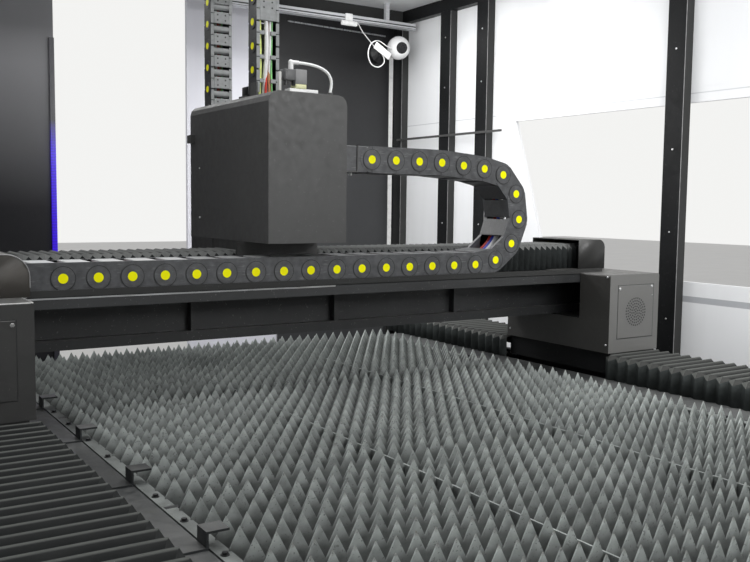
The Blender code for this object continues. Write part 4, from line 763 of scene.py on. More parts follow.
# %% Two covers over the beam's rail
CROSS_FOLD = 0.0255
CROSS_FOOT = 1.2285
for side in ("left", "right"):
    node = f"x_bellows_{side}"
    low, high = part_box(node)
    across = (low.y + CLOTH / 2, high.y - CLOTH / 2)
    cover = pleated_cover(f"cross_bellows_{side}", "X", low.x, high.x, across, CROSS_FOOT, high.z - CLOTH / 2,
                          CROSS_FOLD, CROSS_CLOTH, CROSS_DIP, tuck=0.009)
    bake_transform(cover)
    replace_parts(cover, node)
packed = pleated_cover("cross_bellows_packed_end", "X", high.x, high.x + 0.09, across, CROSS_FOOT,
                       high.z - CLOTH / 2, CROSS_FOLD, CROSS_CLOTH, CROSS_DIP, tuck=0.009)
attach(packed, "gantry")
print("cross bellows crest:", round(high.z, 4))

# %% [markdown]
# The hoods at the beam's ends are bent sheets that are open towards the bellows, so the folds and the chain
# run in under them. A solid block would close them. A box loses the faces that are open, one top edge is
# rounded, and Solidify turns what is left into sheet. The right one is rounded on its outer side, the left
# one on its inner side.

# %% Open hoods
HOOD_SHEET = 0.003
CHAIN_CREST = 1.306


def open_hood(node, inner, top, rounded, rounding, finish):
    """inner is the open side's x, and rounded the x of the top edge that is rounded."""
    low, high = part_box(node)
    left, right = (low.x, inner) if inner < 0 else (inner, high.x)
    bench = bmesh.new()
    add_box(bench, (left, low.y, low.z), (right, high.y, top))
    edge = [edge for edge in bench.edges if all(abs(vert.co.x - rounded) < 0.001 and vert.co.z > top - 0.001
                                                for vert in edge.verts)]
    bmesh.ops.bevel(bench, geom=edge, offset=rounding, affect="EDGES", segments=8, profile=0.5, material=-1)
    away = []
    for face in bench.faces:
        middle = face.calc_center_median()
        inside = abs(middle.x - inner) < rounding / 3 and middle.z < CHAIN_CREST and abs(face.normal.y) < 0.5
        if middle.z < low.z + 0.001 or inside:
            away.append(face)
    bmesh.ops.delete(bench, geom=away, context="FACES_ONLY")
    hood = take_off(bench, node.replace("beam", "open"), finish, smooth_angle=35)
    sheet = hood.modifiers.new("sheet", "SOLIDIFY")
    sheet.thickness = HOOD_SHEET
    sheet.offset = -1.0
    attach(hood, "gantry")
    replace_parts(hood, node)
    return hood


open_hood("beam_hood_right", 0.990, 1.333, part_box("beam_hood_right")[1].x, 0.030, HOOD)
hood = open_hood("beam_hood_left", -0.868, 1.328, -0.868, 0.052, PAINTED_LIT_HOOD)
print("left hood width:", round(hood.dimensions.x, 3))

# %% [markdown]
# ## Drag chains
# A drag chain leads the cables and hoses over to a part that moves. A link has two side plates joined by
# lids, with a yellow cap over each pin. The plates lean in a little towards their far end, as shingles do,
# so the round front of every link lies over the one before it and leaves a crescent of shadow there. A link
# is modelled once, lying along X, and then the path sets it at each pin. The path is given by distance
# along the chain, as a straight run, half a turn and a run back, so that the pins stay one pitch apart
# round the bend too.
#
# When the carriage moves, one run stays with the part it is screwed to, the other goes with the carriage,
# and the bend travels half as far. So a chain is made in three runs, and the table gives each run its bodies
# and its places at both ends of the travel. Real links would roll over the bend.

# %% The way that a chain takes
def half_turn_path(start, forward, outward, first, radius, sag=0.0):
    """Distance from start: a first run forward, half a turn away from outward, and back.
    sag is a dip before the bend."""
    start, forward, outward = Vector(start), Vector(forward), Vector(outward)
    turn = math.pi * radius
    centre = start + forward * first - outward * radius

    def at(distance):
        dip = sag * math.exp(-((distance - first) / 0.085) ** 2)
        if distance <= first:
            return start + forward * distance - outward * dip, outward
        if distance <= first + turn:
            angle = (distance - first) / radius
            normal = forward * math.sin(angle) + outward * math.cos(angle)
            return centre + normal * (radius - dip), normal
        return centre - outward * radius - forward * (distance - first - turn), -outward

    return at


def link_place(path, distance, pitch):
    """A matrix whose X runs from one pin to the next and whose Z points out of the bend."""
    here, there = path(distance)[0], path(distance + pitch)[0]
    forward = (there - here).normalized()
    outward = path(distance + pitch / 2)[1]
    across = outward.cross(forward)
    return Matrix.Translation(here) @ Matrix((forward, across, forward.cross(across))).transposed().to_4x4()


# %% The parts of one link
def add_plates(bench, pitch, half, reach, boss, wall=0.013):
    """Side plates at half to either side of the middle, up to reach above and below the pins."""
    for side in (-1, 1):
        inner, rear = side * (half - wall), side * (half - 0.0028)
        low, high = sorted((inner, side * (half - 0.0008)))
        plate = add_box(bench, (0.001, low, -reach), (pitch - 0.0015, high, reach))
        for vert in plate:
            if vert.co.x > pitch / 2 and abs(vert.co.y) > half - 0.005:
                vert.co.y = rear
        add_bar(bench, (0, inner, 0), (0, side * (half - 0.0022), 0), reach - 0.0006, sides=24)
        add_bar(bench, (0, rear, 0), (0, side * (half - 0.0002), 0), boss + 0.0004, boss - 0.0012, sides=24)


def add_lid(bench, span, half, reach, side):
    """A plate across the link from span[0] to span[1], on the outer side, 1, or the inner one, -1."""
    low, high = sorted((side * (reach - 0.006), side * (reach - 0.0002)))
    lid = add_box(bench, (span[0], -half, low), (span[1], half, high))
    soften(bench, lid, 0.0014, 1)


def add_cap(bench, half, radius, side):
    start, end = Vector((0, side * (half - 0.003), 0)), Vector((0, side * half, 0))
    add_bar(bench, start, end, radius, radius - 0.0012, sides=16)


def chain_piece(name, path, distances, pitch, shape, finish):
    """shape(bench, distance) adds one link's share at the origin; the path sets it at each distance."""
    bench = bmesh.new()
    for distance in distances:
        single = bmesh.new()
        shape(single, distance)
        single.transform(link_place(path, distance, pitch))
        spare = bpy.data.meshes.new("spare")
        single.to_mesh(spare)
        single.free()
        bench.from_mesh(spare)
        bpy.data.meshes.remove(spare)
    piece = take_off(bench, name, finish, smooth_angle=30)
    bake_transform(piece)
    return piece


def drag_chain(prefix, node, path, pitch, runs, pins, parts):
    """One piece for each run and part. A part has the end of its name, its shape and its finish by run; the
    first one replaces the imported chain."""
    for run, (start, end, carried) in runs.items():
        mine = [pin for pin in pins if start <= pin < end]
        made = [chain_piece(f"{prefix}_{run}{ending}", path, mine, pitch, shape, finish.get(run, finish[""])) for ending, shape, finish in parts]
        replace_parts(made[0], node)
        print(run, "run:", len(mine), "links")


print("link helpers ready")

# %% [markdown]
# ## The chain along the beam
# It is screwed to the cover's side at the top run and to the beam's tray at the far end of the lower run.
# The lids on the inside of the bend show from the front, and one of them is left off, so the cables can be
# seen there.

# %% Cross chain
CROSS_PITCH, CROSS_HALF, CROSS_REACH, CROSS_BOSS = 0.0825, 0.0625, 0.0375, 0.0285
CROSS_MIDDLE = 0.6625
CROSS_START, CROSS_BEND = 0.0215, 0.470
CROSS_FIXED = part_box("x_drag_chain")[0].x
CROSS_TOP, CROSS_LOW = 1.575, 1.267
OPEN_LINK = 9
cross_radius = (CROSS_TOP - CROSS_LOW) / 2
cross_first = CROSS_BEND - CROSS_START
cross_path = half_turn_path((CROSS_START, CROSS_MIDDLE, CROSS_TOP), (1, 0, 0), (0, 0, 1), cross_first,
                            cross_radius, sag=0.0135)
cross_turned = cross_first + math.pi * cross_radius
cross_total = cross_turned + CROSS_BEND - CROSS_FIXED
cross_pins = [0.0453 + CROSS_PITCH * k for k in range(27)]
CROSS_BODIES = ("gantry", "carriage")
upper_end = cross_first - CROSS_PITCH * 0.4
CROSS_RUNS = {
    "upper": (0, upper_end, (CROSS_BODIES, (0.9185, 0, 0), (CROSS_START, 0, 0))),
    "bend": (upper_end, cross_turned, (CROSS_BODIES, (-49.5, 0, 0), (50.5, 0, 0))),
    "lower": (cross_turned, cross_total, (CROSS_BODIES, (CROSS_FIXED, 0, 0), (1.8125, 0, 0))),
}


def cross_plates(bench, distance):
    add_plates(bench, CROSS_PITCH, CROSS_HALF, CROSS_REACH, CROSS_BOSS)


def cross_lids(bench, distance):
    width = CROSS_HALF - 0.006
    add_lid(bench, (CROSS_PITCH * 0.26, CROSS_PITCH * 0.80), width, CROSS_REACH, 1)
    if abs(distance - cross_pins[OPEN_LINK]) > 0.001:
        add_lid(bench, (CROSS_PITCH * 0.16, CROSS_PITCH * 0.84), width, CROSS_REACH, -1)


# A black ring round each boss stands in for the groove there: painted shade.
def cross_groove_shade(bench, distance):
    for side in (-1, 1):
        add_bar(bench, (0, side * (CROSS_HALF - 0.0028), 0), (0, side * (CROSS_HALF - 0.0006), 0),
                CROSS_BOSS + 0.0016, CROSS_BOSS + 0.0014, sides=24)


def cross_caps(bench, distance):
    for side in (-1, 1):
        add_cap(bench, CROSS_HALF, 0.0131, side)


drag_chain("cross_chain", "x_drag_chain", cross_path, CROSS_PITCH, CROSS_RUNS,
           [pin for pin in cross_pins if pin + CROSS_PITCH * 0.6 < cross_total],
           (("", cross_plates, {"": CHAIN}), ("_lids", cross_lids, {"": CHAIN_INSIDE, "lower": LOWER_LID_HIGHLIGHT}),
            ("_grooves", cross_groove_shade, {"": BLACK_PLASTIC_AND_SHADE}), ("_caps", cross_caps, {"": YELLOW})))

# %% Its first half link, screwed to the cover
bench = bmesh.new()
cover_side = -0.0287
for side in (-1, 1):
    low, high = sorted(CROSS_MIDDLE + side * (CROSS_HALF - depth) for depth in (0.013, 0.003))
    end_plate = add_box(bench, (cover_side, low, CROSS_TOP - CROSS_REACH),
                        (CROSS_START + 0.030, high, CROSS_TOP + CROSS_REACH - 0.001))
    soften(bench, end_plate, 0.0015, 1)
take_off(bench, "cross_chain_end", CHAIN, "carriage")
bench = bmesh.new()
for x in (-0.0165, 0.0111):
    spot = Vector((x, CROSS_MIDDLE - 0.035, CROSS_TOP - CROSS_REACH + 0.001))
    add_bar(bench, spot, spot - Vector((0, 0, 0.009)), 0.0052, 0.0040, sides=12)
take_off(bench, "cross_chain_bolts", WHITE_PLASTIC, "carriage")
print("half link at x", round(cover_side, 4))

# %% [markdown]
# ## The chain to the cutting head
# This one stands up behind the cover box, bends over and comes down to the head's shelf. Its near leg is
# open on the outside, with only short stubs at each link, so the sleeves that it carries show between them.
# Its bend and far leg are closed by plates with four small holes, black discs that are painted shade. The
# plates and stubs carry a painted highlight and the sides painted shade, so each is a piece of its own.

# %% Upright chain
RISE_PITCH, RISE_HALF, RISE_REACH, RISE_BOSS = 0.0672, 0.0365, 0.028, 0.021
RISE_MIDDLE = -0.1615
RISE_START, RISE_BEND, RISE_END = 1.7433, 2.06, 1.30
RISE_NEAR, RISE_FAR = 0.828, 1.160
CLOSED_FROM = 0.21
rise_radius = (RISE_FAR - RISE_NEAR) / 2
rise_first = RISE_BEND - RISE_START
rise_path = half_turn_path((RISE_MIDDLE, RISE_NEAR, RISE_START), (0, 0, 1), (0, -1, 0), rise_first,
                           rise_radius)
rise_turned = rise_first + math.pi * rise_radius
rise_total = rise_turned + RISE_BEND - RISE_END
rise_pins = [0.0170 + RISE_PITCH * k for k in range(int((rise_total - 0.03) / RISE_PITCH))]
BODIES = ("carriage", "cutting_axis")
RISE_RUNS = {
    "near": (0, rise_first, (BODIES, (0, 0, RISE_START), (0, 0, 2 * RISE_BEND - RISE_START))),
    "bend": (rise_first, rise_turned, (BODIES, (0, 0, -48), (0, 0, 52.1))),
    "far": (rise_turned, rise_total, (BODIES, (0, 0, 2 * RISE_BEND - RISE_END), (0, 0, RISE_END))),
}


def rise_plates(bench, distance):
    add_plates(bench, RISE_PITCH, RISE_HALF, RISE_REACH - 0.0012, RISE_BOSS, wall=0.0075)


def rise_lids(bench, distance):
    width = RISE_HALF - 0.0110
    for side in (-1, 1):
        low, high = sorted((side * width, side * (RISE_HALF - 0.0012)))
        for face in (-1, 1):
            base, rim = sorted((face * (RISE_REACH - 0.0020), face * (RISE_REACH - 0.0002)))
            add_box(bench, (0.003, low, base), (RISE_PITCH * 0.5, high, rim))
            add_box(bench, (RISE_PITCH * 0.54, low, base), (RISE_PITCH - 0.002, high, rim - 0.0006))
        if distance < CLOSED_FROM:
            stub = sorted((side * width, side * 0.0105))
            add_box(bench, (RISE_PITCH * 0.46, stub[0], RISE_REACH - 0.009),
                    (RISE_PITCH * 0.62, stub[1], RISE_REACH - 0.001))
    if distance >= CLOSED_FROM:
        add_lid(bench, (RISE_PITCH * 0.04, RISE_PITCH * 0.97), width, RISE_REACH, 1)
    add_lid(bench, (RISE_PITCH * 0.44, RISE_PITCH * 0.97), width, RISE_REACH, -1)
    if distance < CLOSED_FROM:
        add_box(bench, (-0.0005, 0.0075 - RISE_HALF, -0.0130),
                (RISE_PITCH + 0.0005, RISE_HALF - 0.0075, -0.0110))
    add_bar(bench, (RISE_PITCH * 0.22, -width, 0.0105 - RISE_REACH),
            (RISE_PITCH * 0.22, width, 0.0105 - RISE_REACH), 0.0103, sides=12)


# The holes are black discs: painted shade.
def rise_holes(bench, distance):
    for face in (-1, 1):
        if face > 0 and distance < CLOSED_FROM:
            continue
        for along in (0.58, 0.82):
            for across in (-0.013, 0.013):
                spot = Vector((RISE_PITCH * along, across, face * (RISE_REACH - 0.001)))
                add_bar(bench, spot, spot + Vector((0, 0, face * 0.0011)), 0.0028, sides=8)


def rise_caps(bench, distance):
    for side in (-1, 1):
        add_cap(bench, RISE_HALF, 0.0114, side)


drag_chain("rise_chain", "z_drag_chain", rise_path, RISE_PITCH, RISE_RUNS, rise_pins,
           (("", rise_plates, {"": RISE_SIDE_SHADE}), ("_lids", rise_lids, {"": RISE_LID_HIGHLIGHT}),
            ("_holes", rise_holes, {"": BLACK_PLASTIC_AND_SHADE}), ("_caps", rise_caps, {"": YELLOW})))

# %% A tube along points
def add_tube(bench, points, radius, sides=10):
    points = [Vector(point) for point in points]
    rings = []
    for number, point in enumerate(points):
        before, after = points[max(number - 1, 0)], points[min(number + 1, len(points) - 1)]
        turn = (after - before).to_track_quat("Z", "Y").to_matrix().to_4x4()
        ring = bmesh.ops.create_circle(bench, cap_ends=number in (0, len(points) - 1), segments=sides,
                                       radius=radius, matrix=Matrix.Translation(point) @ turn)["verts"]
        rings.append(list({edge for vert in ring for edge in vert.link_edges}))
    for one, other in zip(rings, rings[1:]):
        bmesh.ops.bridge_loops(bench, edges=one + other)


def sleeve(name, path, total, carried_runs, across, out, radius, finish, weave=0.0, pitch=0.07):
    """A sleeve inside a chain. across and out give its place at the start and from a tenth of a metre on."""
    for run, (start, end, carried) in carried_runs.items():
        points = []
        steps = max(6, round((min(end, total) - start) / 0.02))
        for k in range(steps + 1):
            distance = start + (min(end, total) - start) * k / steps
            spot, normal = path(distance)
            ahead = path(distance + 0.001)[0] - spot
            side = normal.cross(ahead.normalized())
            share = min(distance / 0.12, 1.0)
            place, rise = (ends[0] + (ends[1] - ends[0]) * share for ends in (across, out))
            sway = weave * math.sin(distance / pitch * 2.1 + across[1] * 90)
            points.append(spot + side * (place + sway) + normal * rise)
        bench = bmesh.new()
        add_tube(bench, points, radius)
        piece = take_off(bench, f"{name}_{run}", finish)
        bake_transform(piece)


for name, across, out, radius, finish in (
    ("lime_sleeve", (0.0205, 0.0190), (0.014, 0.014), 0.0045, LIME),
    ("white_sleeve", (0.0060, 0.0008), (0.0130, 0.0170), 0.0066, WHITE_PLASTIC),
    ("thin_white_sleeve", (-0.0085, -0.0110), (0.0110, 0.0160), 0.0036, WHITE_PLASTIC),
    ("red_sleeve", (0.0065, -0.0040), (0.0245, 0.0120), 0.0036, RED),
    ("orange_sleeve", (-0.0085, -0.0100), (0.0200, 0.0100), 0.0042, ORANGE),
    ("green_sleeve", (-0.0175, -0.0180), (0.0150, 0.0130), 0.0028, GREEN),
):
    sleeve(name, rise_path, rise_total, RISE_RUNS, across, out, radius, finish, weave=0.0010)
for name, across, out, radius, finish in (
    ("red_cable", 0.034, -0.014, 0.0075, RED), ("blue_cable", 0.019, -0.016, 0.0060, BLUE),
    ("white_cable", 0.005, -0.014, 0.0070, WHITE_PLASTIC),
    ("black_cable", -0.020, -0.010, 0.0065, BLACK_PLASTIC_AND_SHADE),
):
    sleeve(name, cross_path, cross_total, CROSS_RUNS, (across, across), (out, out), radius, finish,
           weave=0.001, pitch=0.083)
print("sleeves and cables in both chains")

# %% [markdown]
# ## The air hose
# The valve on top of the cover sends air through a short white hose, which leaves the elbow level, bends
# over and goes down into a fitting. Both ends are seen, so its length is that of its route.

# %% Hose along its route
HOSE_RADIUS = 0.004
HOSE_STRAIGHT = 0.004
CARRIAGE = Vector((-0.148, 0.695, 0))
hose_start = CARRIAGE + Vector((-0.0127, -0.075, 1.825))
hose_end = CARRIAGE + Vector((0.088, -0.075, 1.7533))


def hose_points(steps=14):
    leave = hose_start + Vector((HOSE_STRAIGHT, 0, 0))
    arrive = hose_end + Vector((0, 0, HOSE_STRAIGHT))
    span, drop = arrive.x - leave.x, leave.z - arrive.z
    first = leave + Vector((span * 0.75, 0, 0))
    second = arrive + Vector((span * 0.16, 0, drop * 0.75))
    points = [hose_start]
    for k in range(steps + 1):
        t = k / steps
        points.append((1 - t) ** 3 * leave + 3 * (1 - t) ** 2 * t * first + 3 * (1 - t) * t ** 2 * second
                      + t ** 3 * arrive)
    return points + [hose_end]


route = hose_points()
hose_length = sum((after - before).length for before, after in zip(route, route[1:]))
bench = bmesh.new()
add_tube(bench, route, HOSE_RADIUS, sides=16)
hose = take_off(bench, "white_air_hose", HOSE, "carriage", smooth_angle=60)
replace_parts(hose, "air_hose")
print("hose length:", round(hose_length, 4))

# %% [markdown]
# ## The valve
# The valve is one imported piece, but it is made of very different things: a white plate and a cream foot, a
# grey coil, a darker body with two knobs under it, a silvery block and a white elbow. Small softened boxes
# do for all of them.

# %% Valve in its own colours
VALVE_Y = (-0.090, -0.060)
VALVE_PARTS = (
    ("valve_plate", WHITE_PLASTIC, (-0.045, 0.042), (1.7433, 1.7548)),
    ("valve_foot", CREAM, (-0.0265, 0.0060), (1.7548, 1.7670)),
    ("valve_coil", COIL_PLASTIC, (-0.0275, 0.0075), (1.7670, 1.8060)),
    ("valve_body", BODY_PLASTIC, (-0.0600, -0.0275), (1.7755, 1.8045)),
    ("valve_block", SILVER, (-0.0770, -0.0690), (1.7435, 1.7955)),
)
for name, finish, (left, right), (bottom, top) in VALVE_PARTS:
    back = VALVE_Y[0] + 0.008 if name == "valve_block" else VALVE_Y[1]
    corners = (CARRIAGE + Vector(corner) for corner in ((left, VALVE_Y[0], bottom), (right, back, top)))
    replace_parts(boxes(name, finish, "white_plastic", "carriage", (*corners, 0.0016, 2)), "solenoid_valve")
bench = bmesh.new()
for x, radius in ((-0.052, 0.0055), (-0.026, 0.0075)):
    knob = CARRIAGE + Vector((x, VALVE_Y[0] + 0.011, 1.7755))
    add_bar(bench, knob, knob - Vector((0, 0, 0.013)), radius, sides=16)
clip = CARRIAGE + Vector((-0.0575, VALVE_Y[0] - 0.001, 1.779))
add_box(bench, clip, clip + Vector((0.007, 0.012, 0.022)))
take_off(bench, "valve_knobs", BLACK_PLASTIC_AND_SHADE, "carriage")
bench = bmesh.new()
foot, bend = CARRIAGE + Vector((-0.034, -0.075, 1.802)), CARRIAGE + Vector((-0.034, -0.075, 1.825))
add_bar(bench, foot, bend, 0.0068, sides=20)
add_bar(bench, bend - Vector((0.004, 0, 0)), hose_start + Vector((0.001, 0, 0)), 0.0055, sides=20)
bmesh.ops.create_uvsphere(bench, u_segments=20, v_segments=12, radius=0.0069,
                          matrix=Matrix.Translation(bend))
for x, y, z, radius in ((0.088, -0.075, 1.7433, 0.0062), (0.117, -0.05, 1.7433, 0.0045)):
    spot = CARRIAGE + Vector((x, y, z))
    add_bar(bench, spot, spot + Vector((0, 0, 0.0102 if x < 0.1 else 0.006)), radius, sides=16)
take_off(bench, "valve_elbow_and_fittings", WHITE_PLASTIC, "carriage")
print("valve parts:", len(VALVE_PARTS) + 2)

# %% [markdown]
# ## The camera in the far corner
# A white ball with a dark eye watches the bed. It looks a little away from the bed's middle, so its eye
# sits on the line that was read off the picture and not straight ahead. Its cable hangs in one loop from
# the ball to the lamp.

# %% Ball, bezel and eye
BALL = Vector((1.267, 2.2447, 2.232))
BALL_RADIUS = 0.0575
LOOK = Vector((-0.247, -0.953, -0.140)).normalized()
bench = bmesh.new()
bmesh.ops.create_uvsphere(bench, u_segments=48, v_segments=32, radius=BALL_RADIUS,
                          matrix=Matrix.Translation(BALL))
cut = bmesh.ops.bisect_plane(bench, geom=bench.verts[:] + bench.edges[:] + bench.faces[:], clear_outer=True,
                             plane_co=BALL + LOOK * 0.0470, plane_no=LOOK)["geom_cut"]
bmesh.ops.contextual_create(bench, geom=[part for part in cut if isinstance(part, bmesh.types.BMEdge)])
add_bar(bench, BALL + LOOK * 0.044, BALL + LOOK * 0.0500, 0.0335, 0.0315, sides=40)
ball = take_off(bench, "camera_housing", WHITE_GLOSS, "camera", smooth_angle=60)
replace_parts(ball, "camera_ball")
bench = bmesh.new()
add_bar(bench, BALL + LOOK * 0.045, BALL + LOOK * 0.0512, 0.0292, 0.0284, sides=40)
take_off(bench, "camera_eye", LENS_GLASS, "camera")
print("eye faces", tuple(round(v, 2) for v in LOOK))

# %% Its hanging cable
CABLE_RADIUS = 0.0026


def smooth_line(points, each=6):
    """A curve through the points. Each stretch leaves a point along the line between its neighbours."""
    points = [Vector(point) for point in points]
    ends = [2 * points[0] - points[1], *points, 2 * points[-1] - points[-2]]
    line = []
    for a, b, c, d in zip(ends, ends[1:], ends[2:], ends[3:]):
        for k in range(each):
            t = k / each
            line.append(0.5 * (2 * b + (c - a) * t + (2 * a - 5 * b + 4 * c - d) * t ** 2
                               + (3 * b - a - 3 * c + d) * t ** 3))
    return line + [points[-1]]


lamp_low, lamp_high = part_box("lamp_bar")
cable_line = smooth_line((
    (1.2180, 2.225, 2.2200), (1.1700, 2.206, 2.2260), (1.1150, 2.198, 2.2450), (1.0720, 2.196, 2.2250),
    (1.0560, 2.196, 2.1750), (1.0740, 2.196, 2.1300), (1.1150, 2.196, 2.1180), (1.1520, 2.200, 2.1440),
    (1.1480, 2.208, 2.1800), (1.1130, 2.214, 2.2100), (1.0800, 2.222, 2.2450), (1.0500, 2.236, 2.2850),
    (1.0350, (lamp_low.y + lamp_high.y) / 2, lamp_low.z - 0.0005),
))
cable_length = sum((after - before).length for before, after in zip(cable_line, cable_line[1:]))
bench = bmesh.new()
add_tube(bench, cable_line, CABLE_RADIUS, sides=8)
cable = take_off(bench, "camera_cable", WHITE_PLASTIC, "machine", smooth_angle=60)
bench = bmesh.new()
tag = add_box(bench, (-0.050, -0.004, -0.017), (0.050, 0.004, 0.017))
soften(bench, tag, 0.002, 2)
bench.transform(Matrix.Translation((1.133, 2.186, 2.196)) @ Matrix.Rotation(math.radians(30), 4, "Y"))
tag = take_off(bench, "camera_cable_tag", WHITE_PLASTIC, "machine")
print("cable length:", round(cable_length, 3))

# %% [markdown]
# ## Screws, vents and strips
# Small things tell how the covers were put together. The end covers have a plate in their near face with a
# round patch of vent holes, and small bright screws. The walls have screw heads on the posts, a thin dark
# rail on the right side and a pale strip beside the far corner.

# %% End covers
for side, node in ((-1, "end_cover_left"), (1, "end_cover_right")):
    low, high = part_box(node)
    inner = min(abs(low.x), abs(high.x))
    face = low.y
    left, right = sorted((side * (inner + 0.038), side * (inner + 0.206)))
    bottom, top = high.z - 0.209, high.z - 0.036
    bench = bmesh.new()
    # A black box under the plate shows round it as a dark outline, and black discs stand for the holes: painted
    # shade.
    add_box(bench, (left - 0.002, face - 0.0004, bottom - 0.002), (right + 0.002, face + 0.004, top + 0.002))
    middle = Vector(((left + right) / 2, face - 0.0012, high.z - 0.124))
    for ring, count in ((0.0, 1), (0.009, 6), (0.018, 12), (0.027, 18), (0.036, 24), (0.045, 30)):
        for k in range(count):
            angle = 2 * math.pi * k / count + ring * 40
            spot = middle + Vector((ring * math.cos(angle), 0, ring * math.sin(angle)))
            add_bar(bench, spot + Vector((0, 0.001, 0)), spot - Vector((0, 0.0002, 0)), 0.0032, sides=6)
    take_off(bench, f"{node}_vent_holes", BLACK_PLASTIC_AND_SHADE, "gantry")
    boxes(f"{node}_vent_plate", HOOD if side < 0 else COVER, "black_paint", "gantry",
          ((left, face - 0.0012, bottom), (right, face + 0.004, top), 0.0008, 1))
    bench = bmesh.new()
    for along, height, radius in ((0.045, 1.184, 0.0052), (0.197, 1.188, 0.0046), (0.201, 1.158, 0.0025)):
        spot = Vector((side * (inner + along), face - 0.0010, height))
        add_bar(bench, spot, spot - Vector((0, 0.0022, 0)), radius, radius * 0.7, sides=12)
    for y, height in ((face + 0.014, 1.222), (face + 0.013, 1.001), (high.y - 0.014, 1.222),
                      (high.y - 0.014, 1.001)):
        spot = Vector((side * (inner + 0.0005), y, height))
        add_bar(bench, spot, spot - Vector((side * 0.0027, 0, 0)), 0.0042, 0.0030, sides=12)
    take_off(bench, f"{node}_screws", ZINC_BOLT, "gantry")
print("vent plate height:", round(top - bottom, 3))

# %% Folded lips over the windows
LIP_HEIGHTS = (1.826, 1.881)
for side in ("left", "right"):
    low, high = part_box(f"side_panel_upper_{side}")
    boxes(f"window_lip_{side}", STRIPED, "white_paint", "machine",
          ((low.x + 0.0003, -1.548, LIP_HEIGHTS[0]), (high.x - 0.0003, 1.548, LIP_HEIGHTS[1])))
print("lip height:", round(LIP_HEIGHTS[1] - LIP_HEIGHTS[0], 3))

# %% Flange along the beam, the plate and the skirt under the cover
FLANGE_LEFT, FLANGE_RIGHT = -0.872, 0.989
boxes("beam_front_flange", BLACK, "black_paint", "gantry",
      ((FLANGE_LEFT, 0.5840, 1.2240), (FLANGE_RIGHT, 0.5870, 1.2420)))
# A thin steel strip along the flange's top edge: a painted highlight.
boxes("beam_front_edge_highlight", STEEL_X, "steel", "gantry",
      ((FLANGE_LEFT, 0.5830, 1.2205), (-0.060, 0.5842, 1.2243)))
boxes("cover_skirt", HOOD, "black_paint", "carriage",
      ((-0.290, 0.7325, 1.2640), (-0.040, 0.7385, 1.3415)),
      ((-0.2665, 0.9575, 1.2920), (-0.2635, 1.1285, 1.3430)),
      ((-0.0330, 0.9575, 1.2920), (-0.0300, 1.1285, 1.3430)))
# A thin pale tube along the hood's rounded rim: a painted highlight.
bench = bmesh.new()
rim = [Vector((-0.990, 0.5700, 1.3275))]
for k in range(9):
    angle = math.pi / 2 * (1 - k / 8)
    rim.append(Vector((-0.920 + 0.0515 * math.cos(angle), 0.5700, 1.276 + 0.0515 * math.sin(angle))))
add_tube(bench, rim + [Vector((-0.8685, 0.5700, 1.252))], 0.0012, sides=6)
take_off(bench, "hood_edge_highlight_left", EDGE_HIGHLIGHT, "gantry")
# A pale tube along the left cover's top edge: a painted glint.
bench = bmesh.new()
low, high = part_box("end_cover_left")
corner = Vector((high.x - 0.001, low.y + 0.001, high.z - 0.0005))
add_tube(bench, [(low.x + 0.002, corner.y, corner.z), corner - Vector((0.006, 0, 0)),
                 corner + Vector((0, 0.006, 0)), (corner.x, 0.565, corner.z)], 0.0016, sides=8)
take_off(bench, "cover_edge_glint_left", EDGE_GLINT, "gantry")
boxes("rise_chain_foot", BLACK, "black_paint", "carriage",
      ((-0.198, 0.8575, 1.7433), (-0.125, 0.9000, 1.7850), 0.003, 2))
print("flange length:", round(FLANGE_RIGHT - FLANGE_LEFT, 3))

# %% Cover screws, wall rail, strip and post screws
bench = bmesh.new()
for y, z in ((1.057, 1.552), (1.057, 1.402)):
    add_bar(bench, (-0.2665, y, z), (-0.2690, y, z), 0.0040, 0.0028, sides=12)
take_off(bench, "cover_box_screws", ZINC_BOLT, "carriage")
WALL_INNER = 1.376
POST_PLACES = (-1.7603, -0.5604, 0.6249, 1.7201, 2.0000)
SCREW_HEIGHTS = (0.35, 0.70, 1.04, 1.36, 1.66, 2.02, 2.26)
boxes("wall_rail_right", GREY, "black_paint", "machine",
      ((WALL_INNER - 0.009, 1.57, 1.782), (WALL_INNER + 0.001, 2.40, 1.792)))
boxes("corner_strip", WHITE_PLASTIC, "white_plastic", "machine",
      ((1.348, 2.4462, 0.10), (1.371, 2.4512, 2.30)))
bench = bmesh.new()
for side in (-1, 1):
    for y in POST_PLACES:
        for z in SCREW_HEIGHTS:
            add_bar(bench, (side * (WALL_INNER + 0.0005), y, z), (side * (WALL_INNER - 0.0020), y, z), 0.0042,
                    0.0030, sides=10)
take_off(bench, "post_screws", ZINC_BOLT, "machine")
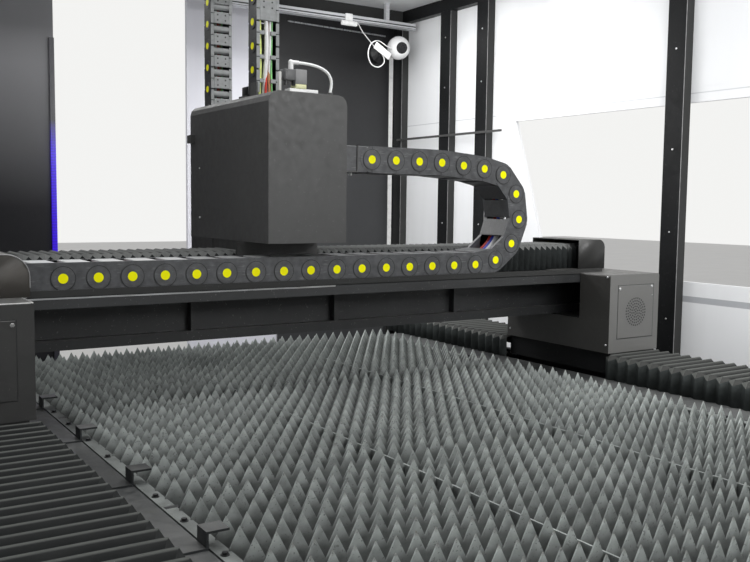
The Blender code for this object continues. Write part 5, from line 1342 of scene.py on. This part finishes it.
# Thin pale strips down the posts' edges: painted highlights.
bench = bmesh.new()
post_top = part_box("roof_frame")[0].z - 0.004
for side in (-1, 1):
    for y in (*POST_PLACES, 2.4100):
        inner, outer = sorted((side * (WALL_INNER - 0.0006), side * (WALL_INNER + 0.0010)))
        add_box(bench, (inner, y - 0.0406, 0.12), (outer, y - 0.0390, post_top))
take_off(bench, "post_edge_highlights", EDGE_HIGHLIGHT, "machine")
bench = bmesh.new()
add_bar(bench, (0.748, 2.4455, 2.3365), (1.318, 2.4455, 2.3250), 0.0042, sides=12)
take_off(bench, "thin_rod", ZINC_BOLT, "machine")
boxes("lamp_bar_clamp", WHITE_PLASTIC, "white_plastic", "machine",
      ((0.950, 2.2310, 2.3300), (0.990, 2.2410, 2.3640), 0.003, 2),
      ((0.925, 2.2250, 2.3060), (1.015, 2.2440, 2.3300), 0.007, 3))
print("post screws:", 2 * len(POST_PLACES) * len(SCREW_HEIGHTS))

# %% [markdown]
# ## Floor
# A plain pale floor carries the shadow. It is far wider than the machine, so that no edge shows.

# %% Floor under the machine
floor_finish = Finish("pale_floor", roughness=0.7)
floor_tone = floor_finish.mix(floor_finish.noise(0.6, 4.0), (0.62, 0.61, 0.59), (0.70, 0.69, 0.67))
floor_finish.surface(floor_tone, None, floor_finish.bump(floor_finish.noise(0.02), 0.0005, 0.3))
bench = bmesh.new()
bmesh.ops.create_grid(bench, x_segments=2, y_segments=2, size=30, matrix=Matrix.Translation((0, 0, -0.001)))
mesh = bpy.data.meshes.new("floor")
bench.to_mesh(mesh)
bench.free()
mesh.materials.append(floor_finish.material)
floor = bpy.data.objects.new("floor", mesh)
scene.collection.objects.link(floor)
print("floor size:", tuple(round(side, 1) for side in floor.dimensions))

# %% Measure and finish
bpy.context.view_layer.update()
triangles = {piece.name: sum(len(face.vertices) - 2 for face in piece.data.polygons)
             for piece in scene.objects if piece.type == "MESH"}
print("triangles before modifiers:", sum(triangles.values()), "largest:", max(triangles, key=triangles.get))
